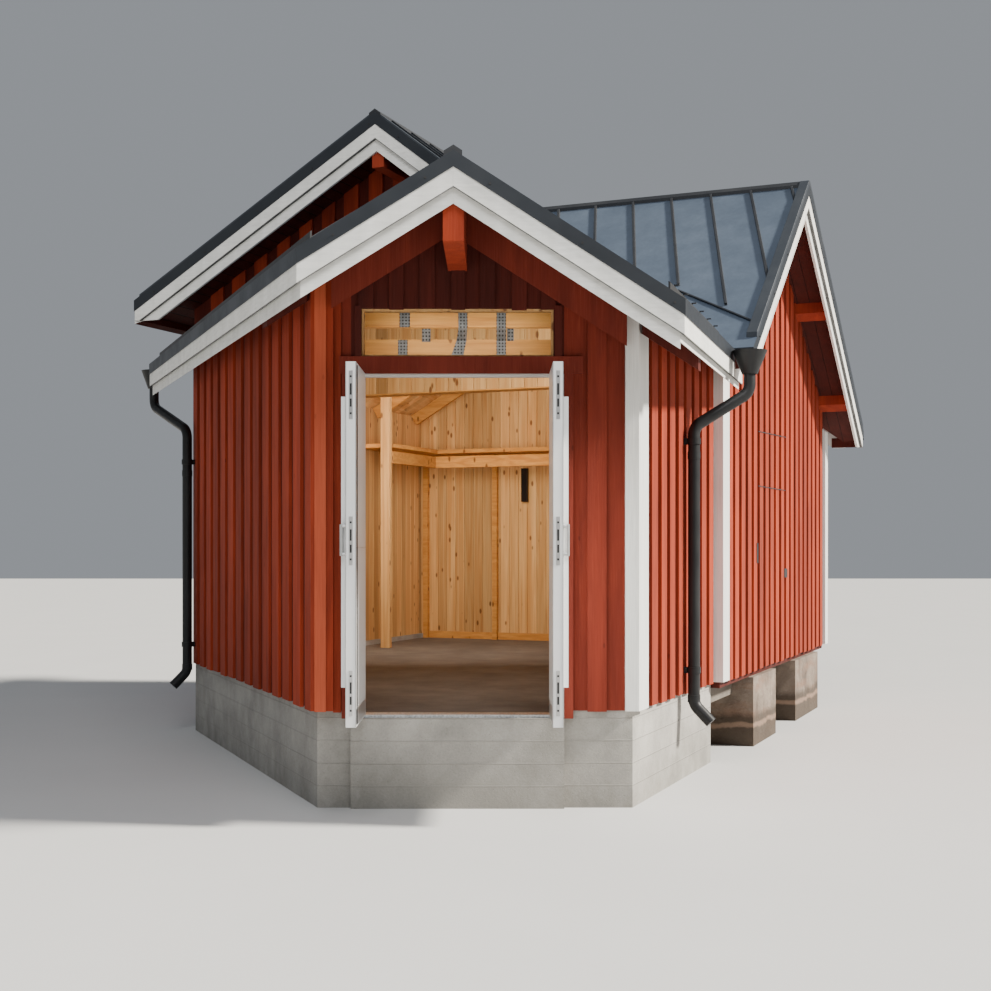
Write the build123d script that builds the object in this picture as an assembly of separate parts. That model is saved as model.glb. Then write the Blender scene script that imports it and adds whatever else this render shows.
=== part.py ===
from build123d import *
from math import cos, hypot, radians, sin
import os

# A lakeside boathouse. Millimetres. X runs right along the door wall, Y runs into the
# house, Z is up. The origin lies under the middle of the door, on the face of the door
# wall, at the lowest level where the house meets the ground and the water.

# Levels
floor_top = 600
floor_thickness = 150
plinth_top = 650
threshold_rise = 20
sill_proud = 30

# Door wall and the flared walls beside it
door_wall_left = 944
door_wall_right = 1176
wall_thickness = 150
plinth_thickness = 200
plinth_setback = 12
door_overhang = 950

# Main block, turned against the door wall
block_turn = 22.9
block_corner_x = 2065
block_corner_y = 1914
block_width = 5050
block_depth = 4720

# Roofs: the ridges' heights follow from the door's, further down
roof_thickness = 160
sheet_thickness = 25
bay_left_half = 897
bay_right_half = 1340
bay_left_pitch = 0.619
bay_right_pitch = 0.642
bay_left_rise = 0.25
bay_right_rise = 0.20
bay_left_eave_turn = 22.8
bay_right_eave_turn = 16.5
lake_ridge_step = 922
lake_ridge_depth = 1807
lake_near_pitch = 0.768
lake_far_pitch = 0.597
lake_verge = 320
cross_ridge_step = 363
cross_ridge_offset = 2830
cross_left_pitch = 0.575
cross_right_pitch = 0.78
cross_left_reach = 2419
cross_verge = 520
back_verge = 400

# Bargeboards and fascias
flashing_height = 100
flashing_thickness = 6
board_height = 116
lower_board_height = 104
right_eave_board_height = 60
board_thickness = 24
board_step = 28
mitre_gap = 0.6
ridge_cap_width = 110
ridge_cap_height = 30

# Standing seams, and the fold across the lake roof where its seams stop
seam_pitch = 377
seam_height = 26
seam_width = 14
seam_inset = 75
seam_shortest = 200
lake_seam_offset = 206
lake_seam_skew = 18
lake_fold_start = (-433, 278)
lake_fold_end = (328, -224)

# Timber
corner_board_width = 120
corner_board_side = 190
corner_board_thickness = 45
lake_board_thickness = 24
ridge_beam_width = 126
ridge_beam_height = 340
ridge_beam_reach = 940
upper_beam_height = 250
rafter_width = 150
rafter_height = 345
tail_height = 200
tail_space = 60
purlin_width = 110
purlin_height = 100
purlin_depths = (3070, 4400)

# Door
opening_half = 670
opening_top = 2895
frame_thickness = 40
frame_depth = 110
stop_depth = 40
stop_thickness = 14
leaf_thickness = 62
leaf_side_gap = 12
leaf_meeting_gap = 12
leaf_head_gap = 9
leaf_sill_gap = 9
hinge_axis_out = 42
hinge_radius = 7
hinge_height = 70
hinge_plate = 4
hinge_count = 3
hinge_end_space = 260
seat_gap = 0.3
cut_past = 10
header_height = 113
header_left = 784
header_right = 836
header_thickness = 30
casing_width = 60
panel_thickness = 36
panel_margin = 70
panel_foot = 240
panel_head = 210
handle_backset = 34
handle_reach = 38
handle_bar = 16
handle_low = 1690
handle_length = 190

# Transom window
transom_half = 640
transom_gap = 115
transom_height = 320
transom_frame = 14
transom_depth = 70
glass_thickness = 6
transom_setback = 20
transom_low = opening_top + transom_gap
transom_high = transom_low + transom_height

# Heights of the ridges' metal, each a step above the one below
ridge_over_transom = 790
bay_ridge_height = transom_high + ridge_over_transom
lake_ridge_height = bay_ridge_height + lake_ridge_step
cross_ridge_height = lake_ridge_height + cross_ridge_step

# Sill plates on the lake side and at the back
sill_setback = 12

# Granite piers
pier_width = 440
pier_proud = 40
pier_starts = (1000, 2900)
pier_lengths = (950, 1250)
back_pier_starts = (250, 1900)
back_pier_length = 700

# Rainwater pipes
pipe_radius = 44
pipe_stand_off = 92
hopper_radius = 130
left_hopper_radius = 120
right_hopper_along = 2230
left_hopper_past = 190
left_hopper_inset = 20
hopper_drop = 76
hopper_height = 175
hopper_throat = 58
clip_height = 45
clip_proud = 7
right_pipe_along = 1200
left_pipe_along = 4090
pipe_bend = 110
right_neck_drop = 135
left_neck_drop = 175
neck_fall = 265
shoe_top = 570
shoe_reach = 130
clip_heights = (800, 2500)
gutter_height = 45
gutter_thickness = 12
gutter_inset = 40

# Inside
shelf_height = 2880
shelf_depth = 420
shelf_thickness = 45
tie_drop = 240
tie_height = transom_high - tie_drop
tie_depth = 120
tie_width = 60
tie_from_door = 600
collar_drop = 57
collar_height = transom_high - collar_drop
collar_depth = 115
collar_from_door = 440
stud_width = 60
stud_depth = 70
stud_count = 6

os.makedirs("parts", exist_ok=True)


class Slope:
    """A sloping plane: its height at a point and its rise along X and Y."""

    def __init__(self, point, height, rise_x, rise_y):
        self.point = point
        self.height = height
        self.rise_x = rise_x
        self.rise_y = rise_y

    def z(self, x, y):
        dx = x - self.point[0]
        dy = y - self.point[1]
        return self.height + self.rise_x * dx + self.rise_y * dy

    def moved(self, by):
        return Slope(self.point, self.height + by, self.rise_x, self.rise_y)


def level(height):
    return Slope((0, 0), height, 0, 0)


def prism(plan, low, high):
    """A solid with upright sides over a plan, between two planes."""
    low = low if isinstance(low, Slope) else level(low)
    high = high if isinstance(high, Slope) else level(high)
    bottom = [Vector(x, y, low.z(x, y)) for x, y in plan]
    top = [Vector(x, y, high.z(x, y)) for x, y in plan]
    faces = [polygon(bottom), polygon(top)]
    for i in range(len(plan)):
        j = (i + 1) % len(plan)
        faces.append(polygon([bottom[i], bottom[j], top[j], top[i]]))
    solid = Solid(Shell(faces))
    return solid if solid.volume > 0 else Solid(Shell([-face for face in faces]))


def polygon(points):
    return Face(Wire.make_polygon(points, close=True))


def box(x0, x1, y0, y1, z0, z1):
    return prism([(x0, y0), (x1, y0), (x1, y1), (x0, y1)], z0, z1)


def cross_lines(a, along_a, b, along_b):
    """The plan point where two lines meet, each given by a point and a direction."""
    det = along_a[0] * along_b[1] - along_a[1] * along_b[0]
    dx = b[0] - a[0]
    dy = b[1] - a[1]
    t = (dx * along_b[1] - dy * along_b[0]) / det
    return (a[0] + along_a[0] * t, a[1] + along_a[1] * t)


def shifted(point, along, by):
    return (point[0] + along[0] * by, point[1] + along[1] * by)


def unit(a, b):
    length = hypot(b[0] - a[0], b[1] - a[1])
    return ((b[0] - a[0]) / length, (b[1] - a[1]) / length)


def largest(shape):
    return max(shape.solids(), key=lambda solid: solid.volume)


def save(name, *solids):
    flat = [solid for shape in solids for solid in shape.solids()]
    shape = flat[0] if len(flat) == 1 else Compound(flat)
    export_step(shape, f"parts/{name}.step")


# The main block's own directions: "deep" runs away from the door, "wide" to the right
deep = (sin(radians(block_turn)), cos(radians(block_turn)))
wide = (cos(radians(block_turn)), -sin(radians(block_turn)))
block_corner = (block_corner_x, block_corner_y)


def block(p, q):
    """A plan point p to the right of the lake wall's face and q behind the block's front."""
    return shifted(shifted(block_corner, wide, p), deep, q)


def block_plan(p0, p1, q0, q1):
    return [block(p0, q0), block(p1, q0), block(p1, q1), block(p0, q1)]


def block_slope(p, q, height, rise_wide, rise_deep):
    rise_x = rise_wide * wide[0] + rise_deep * deep[0]
    rise_y = rise_wide * wide[1] + rise_deep * deep[1]
    return Slope(block(p, q), height, rise_x, rise_y)


# Plan points
front_left = (-door_wall_left, 0)
front_right = (door_wall_right, 0)
block_left = block(-block_width, 0)
left_along = unit(front_left, block_left)
right_along = deep
left_out = (-left_along[1], left_along[0])
right_out = (right_along[1], -right_along[0])

# How far the lake wall stands out past the bay's right wall
lake_step = (block_corner_x - front_right[0]) * wide[0] + block_corner_y * wide[1]

# Roof planes
bay_apex = (0, -door_overhang)
bay_left = Slope(bay_apex, bay_ridge_height, bay_left_pitch, bay_left_rise)
bay_right = Slope(bay_apex, bay_ridge_height, -bay_right_pitch, bay_right_rise)
lake_near = block_slope(0, lake_ridge_depth, lake_ridge_height, 0, lake_near_pitch)
lake_far = block_slope(0, lake_ridge_depth, lake_ridge_height, 0, -lake_far_pitch)
cross_left = block_slope(-cross_ridge_offset, 0, cross_ridge_height, cross_left_pitch, 0)
cross_right = block_slope(-cross_ridge_offset, 0, cross_ridge_height, -cross_right_pitch, 0)

# The fold across the lake roof, from the bay's kink to the lake verge
lake_fold = (block(lake_fold_start[0], lake_fold_start[1]),
             block(lake_fold_end[0], lake_fold_end[1]))

# Roof outlines in plan
kink_left = (-bay_left_half, -door_overhang)
kink_right = (bay_right_half, -door_overhang)
left_eave_along = (-sin(radians(bay_left_eave_turn)), cos(radians(bay_left_eave_turn)))
right_eave_along = (sin(radians(bay_right_eave_turn)), cos(radians(bay_right_eave_turn)))
left_eave_end = cross_lines(kink_left, left_eave_along, block_corner, wide)
right_eave_end = cross_lines(kink_right, right_eave_along, block_corner, wide)
ridge_drift = (bay_right_rise - bay_left_rise) / (bay_left_pitch + bay_right_pitch)
bay_ridge_along = (ridge_drift, 1)
bay_ridge_end = cross_lines(bay_apex, bay_ridge_along, block_corner, wide)
cross_left_edge = -cross_ridge_offset - cross_left_reach
back_edge = block_depth + back_verge
valley_top = (cross_ridge_height - lake_ridge_height) / cross_right_pitch - cross_ridge_offset


def near_valley(q):
    return valley_top + (lake_ridge_depth - q) * lake_near_pitch / cross_right_pitch


def far_valley(q):
    return valley_top + (q - lake_ridge_depth) * lake_far_pitch / cross_right_pitch


# Under the roof
bay_left_under = bay_left.moved(-roof_thickness)
bay_right_under = bay_right.moved(-roof_thickness)
lake_near_under = lake_near.moved(-roof_thickness)
lake_far_under = lake_far.moved(-roof_thickness)
cross_left_under = cross_left.moved(-roof_thickness)
cross_right_under = cross_right.moved(-roof_thickness)


def strip(a, b, out, inner, outer):
    """A plan strip along a line, between two distances measured outwards from it."""
    return [shifted(a, out, inner), shifted(b, out, inner),
            shifted(b, out, outer), shifted(a, out, outer)]


def outline(points, outs, distance):
    """The line through a chain of plan points, moved outwards and mitred at its corners."""
    moved = [shifted(points[0], outs[0], distance)]
    for i in range(1, len(points) - 1):
        before = unit(points[i - 1], points[i])
        after = unit(points[i], points[i + 1])
        moved.append(cross_lines(shifted(points[i], outs[i - 1], distance), before,
                                 shifted(points[i], outs[i], distance), after))
    moved.append(shifted(points[-1], outs[-1], distance))
    return moved


def band(points, outs, distance):
    return list(points) + outline(points, outs, distance)[::-1]


def at_depth(a, along, y):
    """The point of a plan line at a given Y."""
    return cross_lines(a, along, (0, y), (1, 0))


def flared_plan(corner, along, out, thickness, back_point, back_along, setback=0):
    """The plan of a flared wall, from the door wall's inner face to the block."""
    face = shifted(corner, out, -setback)
    inside = shifted(corner, out, -thickness)
    outer_front = at_depth(face, along, wall_thickness)
    inner_front = at_depth(inside, along, wall_thickness)
    outer_back = cross_lines(face, along, back_point, back_along)
    inner_back = cross_lines(inside, along, back_point, back_along)
    return [outer_front, outer_back, inner_back, inner_front]


def make_groundworks():
    inset = plinth_setback
    left_face = shifted(front_left, left_out, -inset)
    right_face = shifted(front_right, right_out, -inset)
    jamb = opening_half + frame_thickness
    left_plan = [at_depth(left_face, left_along, inset), (-jamb, inset),
                 (-jamb, wall_thickness), at_depth(left_face, left_along, wall_thickness)]
    right_plan = [(jamb, inset), at_depth(right_face, right_along, inset),
                  at_depth(right_face, right_along, wall_thickness), (jamb, wall_thickness)]
    left_wall = flared_plan(front_left, left_along, left_out, plinth_thickness,
                            block_corner, wide, inset)
    right_wall = flared_plan(front_right, right_along, right_out, plinth_thickness,
                             block_corner, wide, inset)
    save("plinth_front", prism(left_plan, 0, plinth_top), prism(right_plan, 0, plinth_top))
    save("plinth_sides", prism(left_wall, 0, plinth_top), prism(right_wall, 0, plinth_top))
    sill = box(-jamb, jamb, -sill_proud, wall_thickness, 0, floor_top)
    save("door_sill_wall", sill)
    left_end = -block_width + inset
    side = prism(block_plan(left_end, left_end + plinth_thickness, 0, block_depth - inset),
                 0, plinth_top)
    save("plinth_block_left", side)


def pier(p0, p1, q0, q1, wall_is_lake):
    """A granite pier: a stepped block that carries the wall outside and the floor inside."""
    base = floor_top - floor_thickness
    body = prism(block_plan(p0, p1, q0, q1), 0, base)
    if wall_is_lake:
        head = prism(block_plan(-wall_thickness, p1, q0, q1), base, floor_top)
    else:
        head = prism(block_plan(p0, p1, block_depth - wall_thickness, q1), base, floor_top)
    return largest(body + head)


def make_piers():
    lake = [pier(pier_proud - pier_width, pier_proud, start, start + length, True)
            for start, length in zip(pier_starts, pier_lengths)]
    back = []
    for start in back_pier_starts:
        q1 = block_depth + pier_proud
        p1 = -start - wall_thickness
        back.append(pier(p1 - back_pier_length, p1, q1 - pier_width, q1, False))
    save("granite_piers", *lake, *back)


def make_sill_plates():
    """The timbers under the lake wall and the back wall, on the piers."""
    t = wall_thickness
    back_q = block_depth - sill_setback
    left_p = plinth_setback + plinth_thickness - block_width
    corner = block_depth - t
    plan = [block(-sill_setback, 0), block(-sill_setback, back_q), block(left_p, back_q),
            block(left_p, corner), block(-t, corner), block(-t, 0)]
    save("sill_plates", prism(plan, floor_top, plinth_top))


def floor_plan():
    inner_left = shifted(front_left, left_out, -plinth_thickness)
    inner_right = shifted(front_right, right_out, -plinth_thickness)
    left_edge = -block_width + plinth_setback + plinth_thickness
    block_edge_left = shifted(block_corner, wide, left_edge)
    left_back = cross_lines(inner_left, left_along, block_corner, wide)
    right_back = cross_lines(inner_right, right_along, block_corner, wide)
    inner_q = block_depth - wall_thickness
    return [at_depth(inner_left, left_along, wall_thickness),
            at_depth(inner_right, right_along, wall_thickness),
            right_back,
            block(-wall_thickness, 0), block(-wall_thickness, inner_q),
            block(left_edge, inner_q), block_edge_left, left_back]


def make_floor():
    save("floor_slab", prism(floor_plan(), floor_top - floor_thickness, floor_top))
    tread = box(-opening_half, opening_half, plinth_setback, wall_thickness,
                floor_top, floor_top + threshold_rise)
    save("door_threshold", tread)


def make_door_wall():
    face_left = at_depth(front_left, left_along, wall_thickness)
    face_right = at_depth(front_right, right_along, wall_thickness)
    jamb = opening_half + frame_thickness
    left = [front_left, (-jamb, 0), (-jamb, wall_thickness), face_left]
    right = [(jamb, 0), front_right, face_right, (jamb, wall_thickness)]
    save("front_wall_left", prism(left, plinth_top, bay_left_under))
    save("front_wall_right", prism(right, plinth_top, bay_right_under))
    head = opening_top + frame_thickness
    ridge_front = cross_lines(bay_apex, bay_ridge_along, (0, 0), (1, 0))
    ridge_back = cross_lines(bay_apex, bay_ridge_along, (0, wall_thickness), (1, 0))
    left_half = [(-jamb, 0), ridge_front, ridge_back, (-jamb, wall_thickness)]
    right_half = [ridge_front, (jamb, 0), (jamb, wall_thickness), ridge_back]
    over = prism(left_half, head, bay_left_under) + prism(right_half, head, bay_right_under)
    over -= box(-transom_half, transom_half, -cut_past, wall_thickness + cut_past,
                transom_low, transom_high)
    save("front_wall_over_door", over)


def make_flared_walls():
    left = flared_plan(front_left, left_along, left_out, wall_thickness, block_corner, wide)
    right = flared_plan(front_right, right_along, right_out, wall_thickness, block_corner, wide)
    save("left_wall", prism(left, plinth_top, bay_left_under))
    save("right_wall", prism(right, plinth_top, bay_right_under))


def make_block_walls():
    t = wall_thickness
    near = prism(block_plan(-t, 0, 0, lake_ridge_depth), plinth_top, lake_near_under)
    far = prism(block_plan(-t, 0, lake_ridge_depth, block_depth), plinth_top, lake_far_under)
    save("lake_wall", near + far)
    left_p = -block_width
    save("block_left_wall",
         prism(block_plan(left_p, left_p + t, 0, block_depth), plinth_top, cross_left_under))
    q0 = block_depth - t
    back_pieces = [
        prism(block_plan(left_p + t, -cross_ridge_offset, q0, block_depth),
              plinth_top, cross_left_under),
        prism(block_plan(-cross_ridge_offset, -t, q0, block_depth),
              plinth_top, cross_right_under)]
    save("back_wall", back_pieces[0] + back_pieces[1])


def make_upper_wall():
    """The wall over the bay: the left gable and the strip beside it."""
    t = wall_thickness
    low = tie_height
    valley = near_valley(0)
    pieces = [
        prism(block_plan(t - block_width, -cross_ridge_offset, 0, t), low, cross_left_under),
        prism(block_plan(-cross_ridge_offset, valley, 0, t), low, cross_right_under),
        prism(block_plan(valley, -t, 0, t), low, lake_near_under)]
    save("upper_gable_wall", pieces[0] + pieces[1] + pieces[2])


def side_of(point, start, along):
    """How far a plan point lies to the left of a line."""
    return along[0] * (point[1] - start[1]) - along[1] * (point[0] - start[0])


def cut_plan(plan, start, along):
    """The part of a plan to the left of a line."""
    kept = []
    for i in range(len(plan)):
        a = plan[i - 1]
        b = plan[i]
        side_a = side_of(a, start, along)
        side_b = side_of(b, start, along)
        if side_a * side_b < 0:
            kept.append(cross_lines(a, unit(a, b), start, along))
        if side_b >= 0:
            kept.append(b)
    return kept


def chord(plan, start, along):
    """Where a line enters and leaves a plan, as distances from its start."""
    hits = []
    for i in range(len(plan)):
        a = plan[i - 1]
        b = plan[i]
        if side_of(a, start, along) * side_of(b, start, along) < 0:
            hit = cross_lines(a, unit(a, b), start, along)
            hits.append((hit[0] - start[0]) * along[0] + (hit[1] - start[1]) * along[1])
    return (min(hits), max(hits)) if len(hits) > 1 else (0, 0)


def seams(plan, slope, start, across, down):
    """The standing seams of one slope, laid out both ways from a starting point."""
    count = int((block_width + block_depth) / seam_pitch)
    half = seam_width / 2
    ribs = []
    for i in range(-count, count):
        foot = shifted(start, across, i * seam_pitch)
        low, high = chord(plan, foot, down)
        if high - low < seam_shortest + 2 * seam_inset:
            continue
        a = shifted(foot, down, low + seam_inset)
        b = shifted(foot, down, high - seam_inset)
        rib = strip(a, b, (-down[1], down[0]), -half, half)
        ribs.append(prism(rib, slope.moved(-sheet_thickness / 2), slope.moved(seam_height)))
    return ribs


def save_roof(name, plan, slope, edges, ribs, trims=()):
    """One slope: a timber deck under a metal sheet with its edges folded down."""
    deck = prism(plan, slope.moved(-roof_thickness), slope.moved(-sheet_thickness))
    sheet = prism(plan, slope.moved(-sheet_thickness), slope)
    for rib in ribs:
        sheet += rib
    for points, outs in edges:
        fold = band(points, outs, board_thickness + board_step + flashing_thickness)
        sheet += prism(fold, slope.moved(-flashing_height), slope)
    for trim in trims:
        deck -= trim
        sheet -= trim
    save(f"roof_deck_{name}", largest(deck))
    save(f"roof_sheet_{name}", largest(sheet))


front_out = (0, -1)
back_out = deep
block_front_out = (-deep[0], -deep[1])
block_left_out = (-wide[0], -wide[1])
left_eave_out = (-left_eave_along[1], left_eave_along[0])
right_eave_out = (right_eave_along[1], -right_eave_along[0])
bay_left_plan = [kink_left, bay_apex, bay_ridge_end, left_eave_end]
bay_right_plan = [bay_apex, kink_right, right_eave_end, bay_ridge_end]


def make_bay_roof():
    fold = board_thickness + board_step + flashing_thickness
    stop = block(0, -cross_verge - fold)
    left_seams = seams(cut_plan(bay_left_plan, stop, block_left_out), bay_left,
                       kink_left, left_eave_along, left_eave_out)
    right_seams = seams(cut_plan(bay_right_plan, stop, block_left_out), bay_right,
                        kink_right, right_eave_along, right_eave_out)
    save_roof("bay_left", bay_left_plan, bay_left,
              [((bay_apex, kink_left, left_eave_end), (front_out, left_eave_out))],
              left_seams)
    save_roof("bay_right", bay_right_plan, bay_right,
              [((bay_apex, kink_right, right_eave_end), (front_out, right_eave_out))],
              right_seams)


def under_bay_roof():
    """Everything below the bay's roof: the block's roofs lie on it and stop there."""
    fold = board_thickness + board_step + flashing_thickness + seat_gap
    eave = strip(kink_right, right_eave_end, right_eave_out, 0, fold)
    return [prism(bay_left_plan, 0, bay_left), prism(bay_right_plan, 0, bay_right),
            prism(eave, 0, bay_right)]


def make_block_roof():
    ridge_p = -cross_ridge_offset
    front_q = -cross_verge
    left_plan = block_plan(cross_left_edge, ridge_p, front_q, back_edge)
    right_plan = [block(ridge_p, front_q), block(near_valley(front_q), front_q),
                  block(valley_top, lake_ridge_depth),
                  block(far_valley(back_edge), back_edge), block(ridge_p, back_edge)]
    near_plan = [block(near_valley(front_q), front_q), block(lake_verge, front_q),
                 block(lake_verge, lake_ridge_depth), block(valley_top, lake_ridge_depth)]
    far_plan = [block(valley_top, lake_ridge_depth), block(lake_verge, lake_ridge_depth),
                block(lake_verge, back_edge), block(far_valley(back_edge), back_edge)]
    trims = under_bay_roof()
    cross_start = block(ridge_p, 0)
    lake_start = block(lake_seam_offset, lake_ridge_depth)
    skew = radians(block_turn - lake_seam_skew)
    lake_down = (-sin(skew), -cos(skew))
    above_fold = cut_plan(near_plan, lake_fold[0], unit(*lake_fold))
    save_roof("cross_left", left_plan, cross_left, [
        ((left_plan[1], left_plan[0], left_plan[3], left_plan[2]),
         (block_front_out, block_left_out, back_out))],
        seams(left_plan, cross_left, cross_start, deep, block_left_out))
    save_roof("cross_right", right_plan, cross_right, [
        (right_plan[:2], (block_front_out,)),
        ((right_plan[4], right_plan[3]), (back_out,))],
        seams(right_plan, cross_right, cross_start, deep, wide), trims)
    save_roof("lake_near", near_plan, lake_near, [(near_plan[1:3], (wide,))],
              seams(above_fold, lake_near, lake_start, wide, lake_down), trims)
    save_roof("lake_far", far_plan, lake_far, [(far_plan[1:4], (wide, back_out))],
              seams(far_plan, lake_far, lake_start, wide, back_out))


def mitred(a, b, out, outer, corner_a, corner_b):
    """A plan strip whose ends are cut towards the corners given, or square where None."""
    along = unit(a, b)
    end_a = shifted(a, out, outer)
    end_b = shifted(b, out, outer)
    if corner_a:
        end_a = cross_lines(end_a, along, a, corner_a)
    if corner_b:
        end_b = cross_lines(end_b, along, b, corner_b)
    return [a, b, end_b, end_a]


def mitre(point, out_a, along_a, out_b, along_b):
    """The direction of the mitre where two boards meet at a roof corner."""
    outer = cross_lines(shifted(point, out_a, 1), along_a, shifted(point, out_b, 1), along_b)
    return unit(point, outer)


def upper_board(a, b, out, slope, corner_a=None, corner_b=None):
    return prism(mitred(a, b, out, board_thickness + board_step, corner_a, corner_b),
                 slope.moved(-flashing_height - board_height), slope.moved(-flashing_height))


def eave_cut(point, slope):
    """Everything below the eave board, where the ends of the gable's boards are cut level."""
    reach = block_width + block_depth
    low = slope.z(*point) - flashing_height - board_height
    return box(-reach, reach, -reach, reach, 0, low)


def rake(a, b, out, slope, trims=(), corner_a=None, corner_b=None,
         lower_height=lower_board_height):
    """A double bargeboard along one slope: the lower board steps back under the upper."""
    middle = slope.moved(-flashing_height - board_height)
    upper = upper_board(a, b, out, slope, corner_a, corner_b)
    lower = prism(mitred(a, b, out, board_thickness, corner_a, corner_b),
                  middle.moved(-lower_height), middle)
    board = upper + lower
    for trim in trims:
        board -= trim
    return largest(board)


def make_boards():
    joint = mitre_gap / 2
    right = (1, 0)
    ridge_p = -cross_ridge_offset
    front_q = -cross_verge
    trims = under_bay_roof()
    left_front = block(cross_left_edge, front_q)
    left_back = block(cross_left_edge, back_edge)
    lake_back = block(lake_verge, back_edge)
    turn_left = mitre(kink_left, front_out, right, left_eave_out, left_eave_along)
    turn_right = mitre(kink_right, front_out, right, right_eave_out, right_eave_along)
    turn_front = mitre(left_front, block_front_out, wide, block_left_out, deep)
    turn_back = mitre(left_back, back_out, wide, block_left_out, deep)
    save("bargeboards_front",
         rake(shifted(kink_left, right, joint), shifted(bay_apex, right, -joint), front_out,
              bay_left, corner_a=turn_left),
         rake(shifted(bay_apex, right, joint), shifted(kink_right, right, -joint), front_out,
              bay_right, corner_b=turn_right))
    left_cut = [eave_cut(left_front, cross_left)]
    lake_cut = [eave_cut(lake_back, lake_far)]
    save("bargeboards_upper_gable",
         rake(shifted(left_front, wide, joint), block(ridge_p - joint, front_q),
              block_front_out, cross_left, left_cut, corner_a=turn_front),
         rake(block(ridge_p + joint, front_q), block(near_valley(front_q), front_q),
              block_front_out, cross_right, trims))
    save("bargeboards_lake_gable",
         rake(block(lake_verge, front_q), block(lake_verge, lake_ridge_depth - joint),
              wide, lake_near, trims),
         rake(block(lake_verge, lake_ridge_depth + joint), lake_back, wide, lake_far,
              lake_cut))
    save("bargeboards_back",
         rake(shifted(left_back, wide, joint), block(ridge_p - joint, back_edge),
              back_out, cross_left, left_cut, corner_a=turn_back),
         rake(block(ridge_p + joint, back_edge), block(far_valley(back_edge), back_edge),
              back_out, cross_right, lake_cut))
    save("eave_fascias",
         rake(shifted(kink_left, left_eave_along, joint), left_eave_end,
              left_eave_out, bay_left, corner_a=turn_left),
         rake(shifted(kink_right, right_eave_along, joint), right_eave_end,
              right_eave_out, bay_right, corner_a=turn_right,
              lower_height=right_eave_board_height),
         upper_board(shifted(left_front, deep, joint), shifted(left_back, deep, -joint),
                     block_left_out, cross_left, turn_front, turn_back))


def ridge_cap(a, b, low, out_a, out_b):
    """A folded cap over a ridge: two narrow strips that follow the slopes."""
    half = ridge_cap_width / 2
    left = prism(strip(a, b, out_a, 0, half), low[0], low[0].moved(ridge_cap_height))
    right = prism(strip(a, b, out_b, 0, half), low[1], low[1].moved(ridge_cap_height))
    return largest(left + right)


def make_ridge_caps():
    fold = board_thickness + board_step + flashing_thickness
    front = shifted(bay_apex, front_out, fold)
    lift = seat_gap
    stop = shifted(bay_ridge_end, bay_ridge_along, -cross_verge - fold)
    bay = ridge_cap(front, stop, (bay_left.moved(lift), bay_right.moved(lift)),
                    (-1, 0), (1, 0))
    cross = ridge_cap(block(-cross_ridge_offset, -cross_verge - fold),
                      block(-cross_ridge_offset, back_edge + fold),
                      (cross_left.moved(lift), cross_right.moved(lift)), block_left_out, wide)
    lake = ridge_cap(block(valley_top + ridge_cap_width, lake_ridge_depth),
                     block(lake_verge + fold, lake_ridge_depth),
                     (lake_near.moved(lift), lake_far.moved(lift)), block_front_out, back_out)
    beyond = prism(block_plan(-block_width, block_width, -cross_verge - fold - seat_gap,
                              block_depth), 0, cross_ridge_height)
    save("ridge_caps", largest(bay - beyond), cross, lake)


def corner_boards(corner, along_a, out_a, along_b, out_b, low, slope, widths):
    """Two boards that wrap an outer corner, one on each face."""
    t = corner_board_thickness
    far_corner = cross_lines(shifted(corner, out_a, t), along_a,
                             shifted(corner, out_b, t), along_b)
    end_a = shifted(corner, along_a, widths[0])
    end_b = shifted(corner, along_b, widths[1])
    plan = [corner, end_a, shifted(end_a, out_a, t), far_corner,
            shifted(end_b, out_b, t), end_b]
    return prism(plan, low, slope)


def make_corner_boards():
    low = plinth_top
    top_left = bay_left.moved(-roof_thickness - seat_gap)
    top_right = bay_right.moved(-roof_thickness - seat_gap)
    to_right = (1, 0)
    to_left = (-1, 0)
    front = (0, -1)
    back_along = (-left_along[0], -left_along[1])
    red = corner_boards(front_left, to_right, front, left_along, left_out, low, top_left,
                        (corner_board_width, corner_board_width))
    left_back = block(-block_width, block_depth)
    rear = corner_boards(left_back, wide, deep, block_front_out, block_left_out, low,
                         cross_left.moved(-roof_thickness - seat_gap),
                         (corner_board_width, corner_board_width))
    save("corner_boards_red", red, rear)
    white = corner_boards(front_right, to_left, front, right_along, right_out, low, top_right,
                          (corner_board_width / 2, corner_board_side))
    lake_top = lake_near.moved(-roof_thickness - seat_gap)
    t = lake_board_thickness
    near = prism(block_plan(0, t, 0, corner_board_side), low, lake_top)
    near += prism(block_plan(seat_gap - lake_step, t, -t, 0), low, top_right)
    far = corner_boards(block(0, block_depth), block_front_out, wide, block_left_out, deep, low,
                        cross_right.moved(-roof_thickness - seat_gap),
                        (corner_board_width, corner_board_width))
    save("corner_boards_white", white, near, far)


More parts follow.
